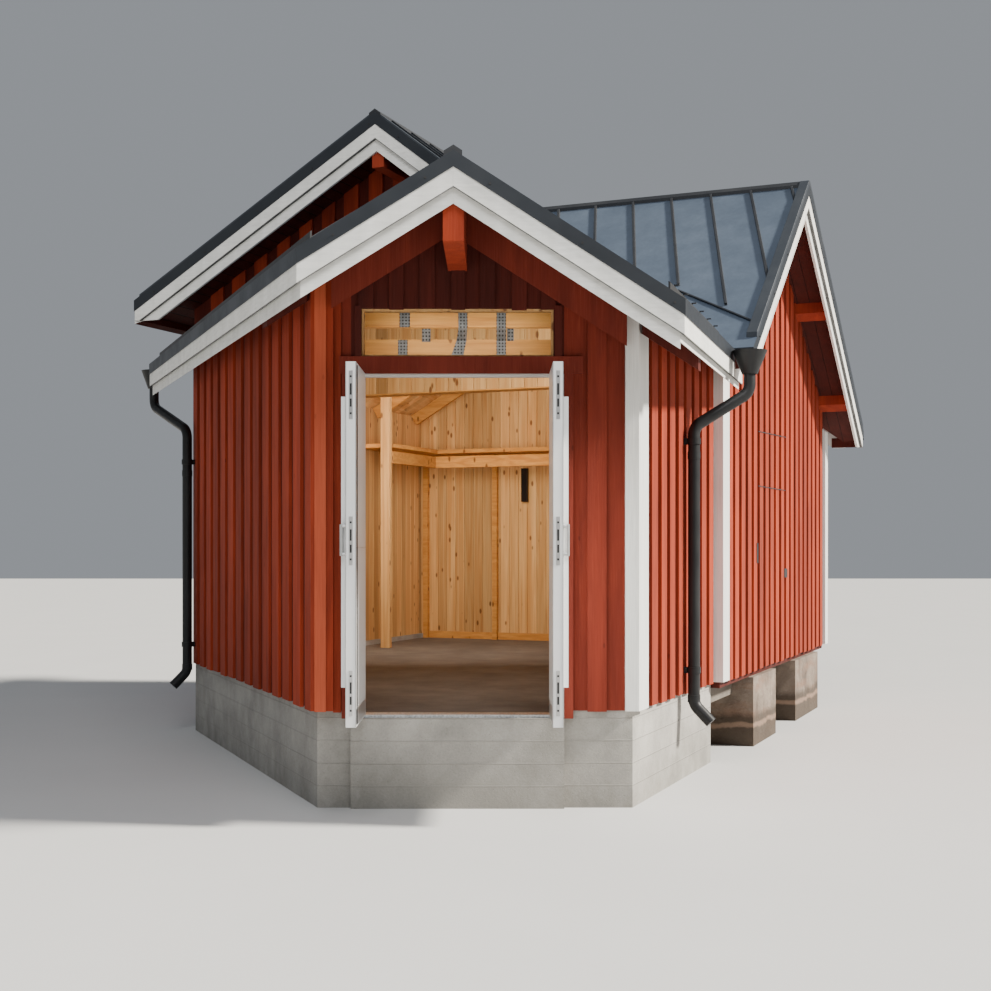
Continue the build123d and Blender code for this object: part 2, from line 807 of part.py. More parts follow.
def make_verge_timber():
    """The ridge beams and purlins that run out to the bargeboards, and the verge rafters."""
    half = ridge_beam_width / 2
    drop = roof_thickness + seat_gap + half * bay_right_pitch
    beam_top = bay_ridge_height - drop
    front = box(-half, half, -ridge_beam_reach, -seat_gap,
                beam_top - ridge_beam_height, beam_top)
    small = purlin_width / 2
    p = -cross_ridge_offset
    cross_drop = roof_thickness + seat_gap + small * cross_right_pitch
    cross_top = cross_ridge_height - cross_drop
    upper = prism(block_plan(p - small, p + small, seat_gap - cross_verge, -seat_gap),
                  cross_top - upper_beam_height, cross_top)
    pieces = [front, upper]
    lake_drop = roof_thickness + seat_gap + small * lake_near_pitch
    lake_top = lake_ridge_height - lake_drop
    q = lake_ridge_depth
    pieces.append(prism(block_plan(seat_gap, lake_verge - seat_gap, q - small, q + small),
                        lake_top - purlin_height, lake_top))
    for q in purlin_depths:
        slope = lake_far.moved(-roof_thickness - seat_gap)
        pieces.append(prism(block_plan(seat_gap, lake_verge - seat_gap, q - small, q + small),
                            slope.moved(-purlin_height), slope))
    save("ridge_beams", *pieces)
    y1 = -seat_gap
    y0 = y1 - rafter_width
    foot_left = front_left[0] + corner_board_width
    foot_right = front_right[0] - corner_board_width / 2
    left_top = bay_left.moved(-roof_thickness - seat_gap)
    right_top = bay_right.moved(-roof_thickness - seat_gap)
    left = prism([(foot_left, y0), (-half - seat_gap, y0), (-half - seat_gap, y1),
                  (foot_left, y1)], left_top.moved(-rafter_height), left_top)
    right = prism([(half + seat_gap, y0), (foot_right, y0), (foot_right, y1),
                   (half + seat_gap, y1)], right_top.moved(-rafter_height), right_top)
    save("verge_rafters", left, right)
    y0 = y1 - corner_board_thickness - tail_space
    tails = []
    clear = corner_board_thickness + seat_gap
    left_start = at_depth(shifted(front_left, left_out, clear), left_along, 0)[0]
    right_start = at_depth(shifted(front_right, right_out, clear), right_along, 0)[0]
    for side, start, kink, along, top in (
            (-1, left_start, kink_left, left_eave_along, left_top),
            (1, right_start, kink_right, right_eave_along, right_top)):
        near = at_depth(kink, along, y0)[0] - side * seat_gap
        far = at_depth(kink, along, y1)[0] - side * seat_gap
        plan = [(start, y0), (near, y0), (far, y1), (start, y1)]
        if side < 0:
            plan = plan[::-1]
        tails.append(prism(plan, top.moved(-tail_height), top))
    save("rafter_tails", *tails)


def make_door_surround():
    t = header_thickness
    jamb = opening_half + frame_thickness
    head_low = opening_top + seat_gap
    header = box(-header_left, header_right, -t, 0, head_low, head_low + header_height)
    casing_low = floor_top
    casing_top = opening_top
    left = box(-jamb - casing_width, -jamb, -t, 0, casing_low, casing_top)
    right = box(jamb, jamb + casing_width, -t, 0, casing_low, casing_top)
    save("door_trim_boards", header, left, right)
    low = floor_top
    outer = box(-jamb, jamb, 0, frame_depth, low, opening_top + frame_thickness)
    inner = box(-opening_half, opening_half, -t, frame_depth + t, low - t, opening_top)
    stop = opening_half - stop_thickness
    stop_y = frame_depth - stop_depth
    low = floor_top + threshold_rise
    rebate_out = box(-opening_half, opening_half, stop_y, frame_depth, low, opening_top)
    rebate_in = box(-stop, stop, stop_y - t, frame_depth + t, low - t,
                    opening_top - stop_thickness)
    frame = (outer - inner) + (rebate_out - rebate_in)
    save("door_frame", frame)


def make_transom():
    y0 = transom_setback
    y1 = y0 + transom_depth
    w = transom_half
    f = transom_frame
    outer = box(-w, w, y0, y1, transom_low, transom_high)
    inner = box(f - w, w - f, y0 - f, y1 + f, transom_low + f, transom_high - f)
    save("transom_frame", outer - inner)
    g0 = y0 + transom_depth / 2
    glass = box(f - w, w - f, g0, g0 + glass_thickness, transom_low + f, transom_high - f)
    save("transom_glass", glass)


def leaf_span():
    sill = floor_top + threshold_rise + leaf_sill_gap
    return sill, opening_top - leaf_head_gap


def hinge_heights():
    low, high = leaf_span()
    first = low + hinge_end_space
    step = (high - hinge_end_space - first) / (hinge_count - 1)
    return [first + i * step for i in range(hinge_count)]


def upright(x, y, z0, z1, radius):
    return Pos(x, y, (z0 + z1) / 2) * Cylinder(radius, z1 - z0)


def make_leaf(side, name):
    """A door leaf, swung out square to the wall as it stands open."""
    low, high = leaf_span()
    width = opening_half - leaf_side_gap - leaf_meeting_gap / 2
    x_hinge = side * opening_half
    x_inner = x_hinge - side * leaf_thickness
    x0, x1 = sorted((x_hinge, x_inner))
    y1 = -hinge_axis_out - leaf_side_gap
    y0 = y1 - width
    leaf = box(x0, x1, y0, y1, low, high)
    x_panel = x_hinge + side * panel_thickness
    p0, p1 = sorted((x_hinge, x_panel))
    leaf += box(p0, p1, y0 + panel_margin, y1 - panel_margin,
                low + panel_foot, high - panel_head)
    s0, s1 = sorted((x_hinge, x_hinge - side * hinge_plate))
    for z in hinge_heights():
        leaf += upright(x_hinge, -hinge_axis_out, z, z + hinge_height, hinge_radius)
        leaf += box(s0, s1, y1, -hinge_axis_out, z, z + hinge_height)
    handle_y = y0 + handle_backset
    tip = x_hinge + side * handle_reach
    a, b = sorted((x_hinge, tip))
    for z in (handle_low, handle_low + handle_length - handle_bar):
        leaf += box(a, b, handle_y, handle_y + handle_bar, z, z + handle_bar)
    c, d = sorted((tip, tip - side * handle_bar))
    leaf += box(c, d, handle_y, handle_y + handle_bar, handle_low,
                handle_low + handle_length)
    save(name, largest(leaf))


def make_frame_hinges():
    """The lower halves of the hinges, on the door frame."""
    pieces = []
    for side in (-1, 1):
        x = side * opening_half
        s0, s1 = sorted((x, x + side * hinge_plate))
        for z in hinge_heights():
            top = z - seat_gap
            knuckle = upright(x, -hinge_axis_out, top - hinge_height, top, hinge_radius)
            knuckle += box(s0, s1, -hinge_axis_out, 0, top - hinge_height, top)
            pieces.append(knuckle)
    save("frame_hinges", *pieces)


def pipe_run(points, radius):
    path = FilletPolyline(*[Vector(*point) for point in points], radius=pipe_bend)
    start = Plane(origin=path @ 0, z_dir=path % 0)
    return sweep(start * Circle(radius), path=path)


def make_pipe(name, on_eave, centre, eave_slope, radius, neck_drop,
              wall_start, wall_along, wall_out, pipe_along, shoe_along):
    """A hopper at the eave, a swan neck and a pipe down the wall, in one piece."""
    top = eave_slope.z(*on_eave) - hopper_drop
    cone = Pos(centre[0], centre[1], top - hopper_height / 2) * Cone(
        hopper_throat, radius, hopper_height)
    foot = shifted(shifted(wall_start, wall_along, pipe_along), wall_out, pipe_stand_off)
    out_end = shifted(foot, shoe_along, shoe_reach)
    neck = top - hopper_height
    points = [(*centre, neck), (*centre, neck - neck_drop),
              (*foot, neck - neck_drop - neck_fall), (*foot, shoe_top),
              (*out_end, shoe_top - shoe_reach)]
    pipe = pipe_run(points, pipe_radius) + cone
    strut_plan = strip(shifted(foot, wall_along, -clip_height / 2),
                       shifted(foot, wall_along, clip_height / 2), wall_out,
                       -pipe_stand_off, 0)
    for z in clip_heights:
        pipe += upright(*foot, z, z + clip_height, pipe_radius + clip_proud)
        pipe += prism(strut_plan, z, z + clip_height)
    save(name, largest(pipe))


def make_rainwater():
    fold = board_thickness + board_step + flashing_thickness
    on_right = shifted(kink_right, right_eave_along, right_hopper_along)
    make_pipe("right_downpipe", on_right,
              shifted(on_right, right_eave_out, fold + seat_gap + hopper_radius),
              bay_right, hopper_radius, right_neck_drop,
              front_right, right_along, right_out, right_pipe_along, right_out)
    on_left = shifted(left_eave_end, left_eave_along, left_hopper_past)
    make_pipe("left_downpipe", on_left, shifted(on_left, left_eave_out, -left_hopper_inset),
              bay_left, left_hopper_radius, left_neck_drop,
              front_left, left_along, left_out, left_pipe_along, left_out)
    left = strip(kink_left, left_eave_end, left_eave_out, -gutter_inset - gutter_thickness,
                 -gutter_inset)
    right = strip(kink_right, on_right, right_eave_out, -gutter_inset - gutter_thickness,
                  -gutter_inset)
    save("eave_gutters",
         prism(left, bay_left, bay_left.moved(gutter_height)),
         prism(right, bay_right, bay_right.moved(gutter_height)))


def make_inside():
    """The timber that shows through the door and the transom: shelf, beams and studs."""
    t = wall_thickness
    q1 = block_depth - t - stud_depth
    shelf_plan = block_plan(t - block_width, -t, q1 - shelf_depth, q1)
    save("back_shelf", prism(shelf_plan, shelf_height - shelf_thickness, shelf_height))
    inner_left = shifted(front_left, left_out, -t)
    inner_right = shifted(front_right, right_out, -t)
    ties = []
    for y, low, height in ((tie_from_door, tie_height, tie_depth),
                           (collar_from_door, collar_height, collar_depth)):
        plan = [at_depth(inner_left, left_along, y), at_depth(inner_right, right_along, y),
                at_depth(inner_right, right_along, y + tie_width),
                at_depth(inner_left, left_along, y + tie_width)]
        ties.append(prism(plan, low, low + height))
    first = plinth_setback + plinth_thickness - block_width
    step = (-t - stud_width - first) / (stud_count - 1)
    q1 = block_depth - t
    studs = [prism(block_plan(first + i * step, first + i * step + stud_width,
                              q1 - stud_depth, q1),
                   floor_top, shelf_height) for i in range(stud_count)]
    save("inner_frame", *ties, *studs)


def build():
    make_groundworks()
    make_piers()
    make_sill_plates()
    make_floor()
    make_door_wall()
    make_flared_walls()
    make_block_walls()
    make_upper_wall()
    make_bay_roof()
    make_block_roof()
    make_boards()
    make_ridge_caps()
    make_corner_boards()
    make_verge_timber()
    make_door_surround()
    make_transom()
    make_frame_hinges()
    make_rainwater()
    make_inside()
    make_leaf(-1, "left_door")
    make_leaf(1, "right_door")


build()
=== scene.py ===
import bpy
import bmesh
import math
import random
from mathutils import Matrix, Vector


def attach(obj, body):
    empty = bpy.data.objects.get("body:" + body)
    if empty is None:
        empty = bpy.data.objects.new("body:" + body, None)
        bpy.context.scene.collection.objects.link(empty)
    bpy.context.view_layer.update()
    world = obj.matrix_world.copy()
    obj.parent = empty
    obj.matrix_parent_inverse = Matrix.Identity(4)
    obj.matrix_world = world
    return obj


# The looks of a lakeside boathouse: boards, seams, fittings, materials, light and camera.
# Metres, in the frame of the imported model: X right along the door wall, Y into the house.

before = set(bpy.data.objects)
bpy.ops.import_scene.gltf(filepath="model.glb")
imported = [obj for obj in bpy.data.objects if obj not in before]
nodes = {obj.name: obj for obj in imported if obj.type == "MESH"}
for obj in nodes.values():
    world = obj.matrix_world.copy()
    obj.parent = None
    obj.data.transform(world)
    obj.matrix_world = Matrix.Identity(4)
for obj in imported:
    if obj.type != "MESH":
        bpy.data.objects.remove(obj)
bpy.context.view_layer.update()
random.seed(12)

# Directions of the walls
turn = math.radians(22.9)
deep = Vector((math.sin(turn), math.cos(turn), 0))
wide = Vector((math.cos(turn), -math.sin(turn), 0))
block_corner = Vector((2.065, 1.914, 0))
block_width = 5.05
block_left = block_corner - wide * block_width
front_left = Vector((-0.944, 0, 0))
front_right = Vector((1.176, 0, 0))
left_along = (block_left - front_left).normalized()
left_out = Vector((-left_along.y, left_along.x, 0))
front_out = Vector((0, -1, 0))
right = Vector((1, 0, 0))
up = Vector((0, 0, 1))

# Camera, from the photograph
cam_at = Vector((0.253, -9.333, 1.767))
cam_focal = 1400
cam_mid = (495.5, 543)
frame_px = 991


def ray(px, py):
    return Vector(((px - cam_mid[0]) / cam_focal, 1, -(py - cam_mid[1]) / cam_focal))


def seen_on(px, py, point, normal):
    """Where the camera's line through a place of the picture meets a plane."""
    d = ray(px, py)
    return cam_at + d * ((point - cam_at).dot(normal) / d.dot(normal))


# Materials
class Mat:
    """A procedural material: small helpers around one node tree."""

    def __init__(self, name, rough=0.6, metal=0.0, **sockets):
        self.m = bpy.data.materials.new(name)
        self.m.use_nodes = True
        self.t = self.m.node_tree
        self.out = self.t.nodes["Principled BSDF"]
        self.out.inputs["Roughness"].default_value = rough
        self.out.inputs["Metallic"].default_value = metal
        for key, value in sockets.items():
            self.out.inputs[key.replace("_", " ")].default_value = value
        self.coords = self.t.nodes.new("ShaderNodeTexCoord").outputs["Object"]

    def put(self, value, socket):
        """Links an output to a socket, or sets the socket to a plain value."""
        if isinstance(value, bpy.types.NodeSocket):
            self.t.links.new(value, socket)
        elif value is not None:
            socket.default_value = value

    def math(self, kind, a, b=None, c=None):
        n = self.t.nodes.new("ShaderNodeMath")
        n.operation = kind
        for i, value in enumerate((a, b, c)):
            self.put(value, n.inputs[i])
        return n.outputs[0]

    def mapped(self, scale, turn_z=0.0, offset=(0, 0, 0)):
        n = self.t.nodes.new("ShaderNodeMapping")
        self.put(self.coords, n.inputs["Vector"])
        n.inputs["Rotation"].default_value = (0, 0, turn_z)
        n.inputs["Scale"].default_value = scale
        n.inputs["Location"].default_value = offset
        return n.outputs[0]

    def noise(self, scale, detail=4, rough=0.55, distort=0.0, vector=None):
        n = self.t.nodes.new("ShaderNodeTexNoise")
        self.put(vector or self.coords, n.inputs["Vector"])
        n.inputs["Scale"].default_value = scale
        n.inputs["Detail"].default_value = detail
        n.inputs["Roughness"].default_value = rough
        n.inputs["Distortion"].default_value = distort
        return n.outputs["Fac"]

    def cells(self, scale, feature="F1", vector=None):
        n = self.t.nodes.new("ShaderNodeTexVoronoi")
        n.feature = feature
        self.put(vector or self.coords, n.inputs["Vector"])
        n.inputs["Scale"].default_value = scale
        return n.outputs["Distance"]

    def ramp(self, value, low, high, a=0.0, b=1.0):
        n = self.t.nodes.new("ShaderNodeMapRange")
        n.clamp = True
        self.put(value, n.inputs["Value"])
        for key, v in (("From Min", low), ("From Max", high), ("To Min", a), ("To Max", b)):
            n.inputs[key].default_value = v
        return n.outputs["Result"]

    def mix(self, share, a, b):
        n = self.t.nodes.new("ShaderNodeMix")
        n.data_type = "RGBA"
        self.put(share, n.inputs[0])
        for value, socket in ((a, n.inputs[6]), (b, n.inputs[7])):
            self.put((*value, 1) if isinstance(value, tuple) else value, socket)
        return n.outputs[2]

    def shade(self, colour, value):
        """The colour made darker or lighter by a factor."""
        n = self.t.nodes.new("ShaderNodeVectorMath")
        n.operation = "SCALE"
        self.put(colour, n.inputs[0])
        self.put(value, n.inputs["Scale"])
        return n.outputs[0]

    def tone(self):
        """The tone of a single board, stored with the piece: -1 dark, 1 pale."""
        n = self.t.nodes.new("ShaderNodeAttribute")
        n.attribute_name = "tone"
        return n.outputs["Fac"]

    def along(self, direction):
        """The distance of a point along a direction, in metres."""
        n = self.t.nodes.new("ShaderNodeVectorMath")
        n.operation = "DOT_PRODUCT"
        self.put(self.coords, n.inputs[0])
        n.inputs[1].default_value = tuple(direction)
        return n.outputs["Value"]

    def joints(self, direction, pitch, gap):
        """1 in the joints between boards laid side by side, 0 on the boards."""
        share = self.math("FRACT", self.math("DIVIDE", self.along(direction), pitch))
        edge = self.math("ABSOLUTE", self.math("SUBTRACT", share, 0.5))
        return self.ramp(edge, 0.5 - gap / pitch, 0.5 - 0.4 * gap / pitch)

    def finish(self, colour, rough=None, height=None, distance=0.002, strength=0.5):
        self.put(colour, self.out.inputs["Base Color"])
        if rough is not None:
            self.put(rough, self.out.inputs["Roughness"])
        if height is not None:
            n = self.t.nodes.new("ShaderNodeBump")
            n.inputs["Strength"].default_value = strength
            n.inputs["Distance"].default_value = distance
            self.put(height, n.inputs["Height"])
            self.put(n.outputs[0], self.out.inputs["Normal"])
        return self.m


def painted_wood(name, base, dark, pale, knots=0.5, rough=0.78, weather=0.35, lines=None,
                 grain=(1, 1, 0.035)):
    """Paint over sawn wood: grain, boards that differ, knots that show through, wear."""
    m = Mat(name, rough, Specular_IOR_Level=0.25)
    fine = m.noise(110, 5, 0.6, 0.3, m.mapped(grain))
    broad = m.noise(9, 3, 0.5, 0.6, m.mapped((1, 1, 0.12)))
    colour = m.mix(m.ramp(broad, 0.3, 0.7), dark, base)
    wear = m.math("MULTIPLY", m.ramp(fine, 0.55, 0.8),
                  m.ramp(m.noise(1.7, 4, 0.6), 0.42, 0.7, 0.0, weather))
    colour = m.mix(wear, colour, pale)
    low = m.ramp(m.along((0, 0, 1)), 0.6, 1.3, 0.3, 0.0)
    stains = m.math("MULTIPLY", low, m.noise(14, 4, 0.6, 0.0, m.mapped((1, 1, 0.25))))
    colour = m.mix(stains, colour, dark)
    spot = m.cells(2.6, vector=m.mapped((2.2, 2.2, 1)))
    knot = m.ramp(spot, 0.035, 0.06, knots, 0.0)
    colour = m.mix(knot, colour, tuple(0.45 * c for c in dark))
    value = m.math("ADD", m.ramp(fine, 0.25, 0.8, 0.86, 1.1),
                   m.math("MULTIPLY", m.tone(), 0.22))
    height = m.math("ADD", fine, m.math("MULTIPLY", knot, 0.4))
    if lines is not None:
        gap = m.joints(*lines)
        value = m.math("MULTIPLY", value, m.math("SUBTRACT", 1.0,
                                                 m.math("MULTIPLY", gap, 0.75)))
        height = m.math("SUBTRACT", height, m.math("MULTIPLY", gap, 3.0))
    return m.finish(m.shade(colour, value), m.ramp(fine, 0.2, 0.8, rough + 0.1, rough - 0.1),
                    height, 0.0015, 0.7)


# Red paint: the open walls' red, darker copies that are painted shade under the roofs and
# between the lids, and a paler copy that is painted sunlight
red = (0.345, 0.041, 0.012)
red_dark = (0.215, 0.024, 0.008)
red_pale = (0.44, 0.095, 0.04)
red_boards = painted_wood("red_boards", red, red_dark, red_pale)
# A darker copy of the red: painted shade on the front walls under the roof
red_in_shade = painted_wood("red_in_shade", (0.22, 0.029, 0.013), (0.15, 0.019, 0.009), red_pale)
# A paler, warmer copy of the red: painted sunlight on one corner lid
red_painted_sunlight = painted_wood("red_painted_sunlight", (0.50, 0.098, 0.042), (0.41, 0.074, 0.032), red_pale,
                         knots=0.3)
# A much darker copy: painted shade on the wall faces recessed between the lids
red_recess_shade = painted_wood("red_recess_shade", (0.12, 0.015, 0.008), (0.07, 0.009, 0.005), red_dark)
# A very dark copy: painted deep shade under the roofs, in the sill gap and behind the white
# boards
red_in_deep_shade = painted_wood("red_painted_deep_shade", (0.085, 0.011, 0.006), (0.055, 0.008, 0.005),
                        (0.16, 0.032, 0.018))
# A dark copy: painted half shade on the door trim and the verge rafters
red_half_shade = painted_wood("red_half_shade", (0.20, 0.028, 0.014), (0.14, 0.019, 0.010),
                        (0.30, 0.06, 0.032))

# Undersides of the roofs: boards with open joints, each roof along its own run, in a very dark
# red that is painted shade
soffit_shade_paint = ((0.075, 0.010, 0.006), (0.05, 0.007, 0.004), (0.13, 0.026, 0.015), 0.3, 0.8, 0.1)
soffit_bay, soffit_cross, soffit_lake = (
    painted_wood(name, *soffit_shade_paint, lines=(across, pitch, gap), grain=(1, 0.035, 1))
    for name, across, pitch, gap in (("soffit_bay", (1, 0, 0), 0.095, 0.006),
                                     ("soffit_cross", tuple(wide), 0.095, 0.006),
                                     ("soffit_lake", tuple(wide), 0.12, 0.004)))

# White paint, upright and sloping, and the painted shadow between two white boards
white = ((0.80, 0.80, 0.775), (0.70, 0.70, 0.67), (0.62, 0.60, 0.54))
white_boards = painted_wood("white_boards", *white, knots=0.06, rough=0.55, weather=0.3)
white_flat = painted_wood("white_boards_sloping", *white, knots=0.03, rough=0.55, weather=0.25,
                          grain=(0.06, 0.06, 0.5))
white_joint_shadow = painted_wood("white_joint_shadow", (0.15, 0.15, 0.15), (0.09, 0.09, 0.09),
                            (0.20, 0.20, 0.19), knots=0.0)


def pine(name, grain=(1, 1, 0.03), pale=(0.68, 0.41, 0.165), dark=(0.54, 0.27, 0.088)):
    """Planed pine: growth rings, knots, and boards that differ."""
    m = Mat(name, 0.5)
    fine = m.noise(75, 5, 0.6, 0.5, m.mapped(grain))
    rings = m.noise(16, 3, 0.5, 1.6, m.mapped(grain))
    colour = m.mix(m.ramp(rings, 0.35, 0.65), pale, dark)
    spot = m.cells(4.4, vector=m.mapped((2.2, 2.2, 1)))
    ringed = m.ramp(spot, 0.10, 0.17, 1.0, 0.0)
    colour = m.mix(m.math("MULTIPLY", ringed, 0.85), colour, (0.15, 0.05, 0.016))
    value = m.math("ADD", m.ramp(fine, 0.2, 0.8, 0.84, 1.1), m.math("MULTIPLY", m.tone(), 0.22))
    return m.finish(m.shade(colour, value), m.ramp(fine, 0.2, 0.8, 0.42, 0.62), fine, 0.001, 0.5)


pine_upright = pine("pine_boards")
pine_beams = pine("pine_beams", (0.05, 0.4, 1), (0.64, 0.31, 0.080), (0.50, 0.21, 0.05))
pine_ceiling = pine("pine_ceiling", (0.5, 0.06, 1))


def sheet_metal(name, base, rough, metal=0.35, mottled=0.2, edge=None, shine=0.5):
    """Painted sheet: slow waves that bend reflections, dust, and painted shade on faces that do
    not face up, such as folded edges.
    """
    m = Mat(name, rough, metal, Specular_IOR_Level=shine)
    dust = m.noise(2.2, 5, 0.62)
    fine = m.noise(160, 3, 0.6)
    pale = tuple(min(1.0, c * 1.5 + 0.03) for c in base)
    colour = m.mix(m.ramp(dust, 0.4, 0.75, 0.0, mottled + 0.25), base, pale)
    streak = m.noise(30, 3, 0.6, 0.0, m.mapped((1, 1, 0.15)))
    colour = m.shade(colour, m.math("ADD", m.ramp(streak, 0.3, 0.7, 0.93, 1.05),
                                    m.math("MULTIPLY", m.tone(), 0.1)))
    # edge: painted shade on the folded edges and other faces that do not face up
    if edge:
        n = m.t.nodes.new("ShaderNodeNewGeometry")
        z = m.t.nodes.new("ShaderNodeSeparateXYZ")
        m.put(n.outputs["Normal"], z.inputs[0])
        colour = m.mix(m.ramp(z.outputs["Z"], 0.35, 0.6, 1.0, 0.0), colour, edge)
    waves = m.math("ADD", m.noise(3.5, 2, 0.4), m.math("MULTIPLY", fine, 0.02))
    return m.finish(colour, m.ramp(dust, 0.35, 0.75, rough - 0.06, rough + 0.14), waves, 0.01,
                    0.25)


# The roof's edge colour is painted shade on its upright faces
roof_metal = sheet_metal("roof_metal", (0.092, 0.122, 0.168), 0.42, mottled=0.1,
                         edge=(0.022, 0.026, 0.032))
# Near-black metal: on the seam covers and the lake crease it is painted shade; also on the ridge
# caps
seam_metal = sheet_metal("seam_metal", (0.007, 0.009, 0.013), 0.6, 0.0, 0.0)
pipe_metal = sheet_metal("pipe_metal", (0.011, 0.012, 0.013), 0.42, 0.0, 0.0, shine=0.25)
edge_metal = sheet_metal("edge_metal", (0.030, 0.036, 0.045), 0.42, 0.2, 0.0)
dark_metal = sheet_metal("dark_metal", (0.008, 0.008, 0.009), 0.55, 0.0, 0.0)


def concrete(name, base, dark, formed=False):
    """Concrete with pores and damp low down, with the lines of its formwork if asked."""
    m = Mat(name, 0.9)
    broad = m.noise(2.6, 6, 0.62)
    fine = m.noise(70, 5, 0.65)
    pores = m.ramp(m.cells(38, vector=m.mapped((1, 1, 1.3))), 0.05, 0.16, 1.0, 0.0)
    colour = m.mix(m.ramp(broad, 0.35, 0.68), dark, base)
    colour = m.mix(m.math("MULTIPLY", pores, 0.45), colour, tuple(0.45 * c for c in dark))
    colour = m.shade(colour, m.ramp(fine, 0.2, 0.8, 0.88, 1.1))
    damp = m.ramp(m.along((0, 0, 1)), 0.0, 0.55, 0.42, 0.0)
    damp = m.math("MULTIPLY", damp, m.ramp(m.noise(5, 4, 0.6), 0.3, 0.7, 0.5, 1.2))
    colour = m.mix(damp, colour, (0.085, 0.078, 0.06))
    height = m.math("SUBTRACT", fine, pores)
    if formed:
        gap = m.joints((0, 0, 1), 0.15, 0.006)
        colour = m.mix(m.math("MULTIPLY", gap, 0.35), colour, dark)
        height = m.math("ADD", height, m.math("MULTIPLY", gap, 1.5))
    return m.finish(colour, m.ramp(fine, 0.2, 0.8, 0.96, 0.78), height, 0.003, 0.7)


concrete_plinth = concrete("concrete_plinth", (0.44, 0.42, 0.385), (0.27, 0.26, 0.235), True)
# The inside floor's concrete is darkened: painted shade
shaded_concrete_floor = concrete("shaded_concrete_floor", (0.185, 0.158, 0.128), (0.115, 0.097, 0.08))


def granite_blocks():
    """Split granite: grains and bands, with a wet foot under a pale tide line."""
    m = Mat("granite", 0.85)
    broad = m.noise(3.2, 6, 0.65, 0.4)
    bands = m.noise(5.5, 5, 0.6, 0.3, m.mapped((0.25, 0.25, 1)))
    grains = m.cells(150)
    fine = m.noise(120, 4, 0.7)
    colour = m.mix(m.ramp(broad, 0.35, 0.66), (0.085, 0.058, 0.042), (0.26, 0.205, 0.16))
    colour = m.mix(m.ramp(bands, 0.5, 0.64, 0.0, 0.65), colour, (0.21, 0.115, 0.07))
    colour = m.mix(m.ramp(grains, 0.02, 0.28, 0.55, 0.0), colour, (0.07, 0.06, 0.055))
    colour = m.mix(m.ramp(m.noise(200, 2), 0.62, 0.7, 0.0, 0.4), colour, (0.55, 0.50, 0.45))
    rise = m.math("ADD", m.along((0, 0, 1)), m.math("MULTIPLY", broad, 0.12))
    wet = m.ramp(rise, 0.30, 0.36, 0.85, 0.0)
    colour = m.mix(wet, colour, (0.055, 0.036, 0.022))
    tide = m.math("ABSOLUTE", m.math("SUBTRACT", rise, 0.235))
    colour = m.mix(m.ramp(tide, 0.012, 0.03, 0.6, 0.0), colour, (0.34, 0.22, 0.15))
    height = m.math("ADD", m.math("MULTIPLY", m.noise(14, 6, 0.65), 5.0), fine)
    return m.finish(m.shade(colour, m.ramp(fine, 0.2, 0.8, 0.85, 1.12)),
                    m.ramp(fine, 0.2, 0.8, 0.92, 0.72), height, 0.006, 0.8)


granite = granite_blocks()


def coated(name, base, rough, coat=0.3, dirt=0.2):
    """Factory paint on a door: smooth, slightly marked, dustier low down."""
    m = Mat(name, rough, 0.0, Coat_Weight=coat, Coat_Roughness=0.2)
    marks = m.noise(7, 6, 0.7, 0.4)
    fine = m.noise(300, 3, 0.6)
    low = m.ramp(m.along((0, 0, 1)), 0.62, 1.2, dirt, 0.02)
    colour = m.mix(m.math("MULTIPLY", low, m.ramp(marks, 0.35, 0.7)), base,
                   tuple(0.55 * c for c in base))
    colour = m.shade(colour, m.ramp(marks, 0.3, 0.75, 0.96, 1.03))
    return m.finish(colour, m.ramp(marks, 0.35, 0.7, rough, rough + 0.14), fine, 0.0004, 0.3)


door_paint = coated("door_paint", (0.84, 0.85, 0.85), 0.34)
frame_paint = coated("frame_paint", (0.62, 0.60, 0.58), 0.45, 0.1)


def bare_metal(name, base, rough, spangle=0.0):
    """Brushed metal with duller patches, and with flakes of zinc if asked."""
    m = Mat(name, rough, 0.9)
    brushed = m.noise(220, 4, 0.6, 0.0, m.mapped((1, 1, 0.06)))
    patch = m.noise(11, 5, 0.65)
    colour = m.mix(m.ramp(patch, 0.4, 0.72, 0.0, 0.5), base, tuple(0.6 * c for c in base))
    if spangle:
        flakes = m.cells(70, "SMOOTH_F1")
        colour = m.shade(colour, m.ramp(flakes, 0.0, 0.6, 1 - spangle, 1 + spangle))
    return m.finish(colour, m.ramp(brushed, 0.2, 0.8, rough - 0.08, rough + 0.12), brushed,
                    0.0004, 0.3)


def holed_plate():
    """Galvanised plate with rows of small holes."""
    m = Mat("perforated_plate", 0.5, 0.6)
    hole_pitch = 0.0225
    across = m.math("FRACT", m.math("DIVIDE", m.along((1, 0, 0)), hole_pitch))
    rise = m.math("FRACT", m.math("DIVIDE", m.along((0, 0, 1)), hole_pitch))
    dx = m.math("SUBTRACT", across, 0.5)
    dz = m.math("SUBTRACT", rise, 0.5)
    far = m.math("ADD", m.math("MULTIPLY", dx, dx), m.math("MULTIPLY", dz, dz))
    hole = m.ramp(far, 0.05, 0.09, 1.0, 0.0)
    colour = m.mix(m.ramp(m.noise(25, 4), 0.3, 0.7), (0.20, 0.205, 0.21), (0.34, 0.345, 0.35))
    return m.finish(m.mix(hole, colour, (0.03, 0.025, 0.02)), 0.5, hole, 0.001, 0.4)


perforated = holed_plate()
steel = bare_metal("steel", (0.60, 0.60, 0.60), 0.34)
galvanised = bare_metal("galvanised", (0.52, 0.54, 0.56), 0.46, 0.25)


def window_pane():
    """Clear glass with a faint haze."""
    m = Mat("window_glass", 0.0, 0.0, Transmission_Weight=1.0, IOR=1.2)
    haze = m.noise(6, 5, 0.65)
    return m.finish(m.mix(m.ramp(haze, 0.3, 0.8), (0.95, 0.97, 0.96), (0.90, 0.93, 0.92)),
                    m.ramp(haze, 0.4, 0.8, 0.0, 0.012))


pane = window_pane()


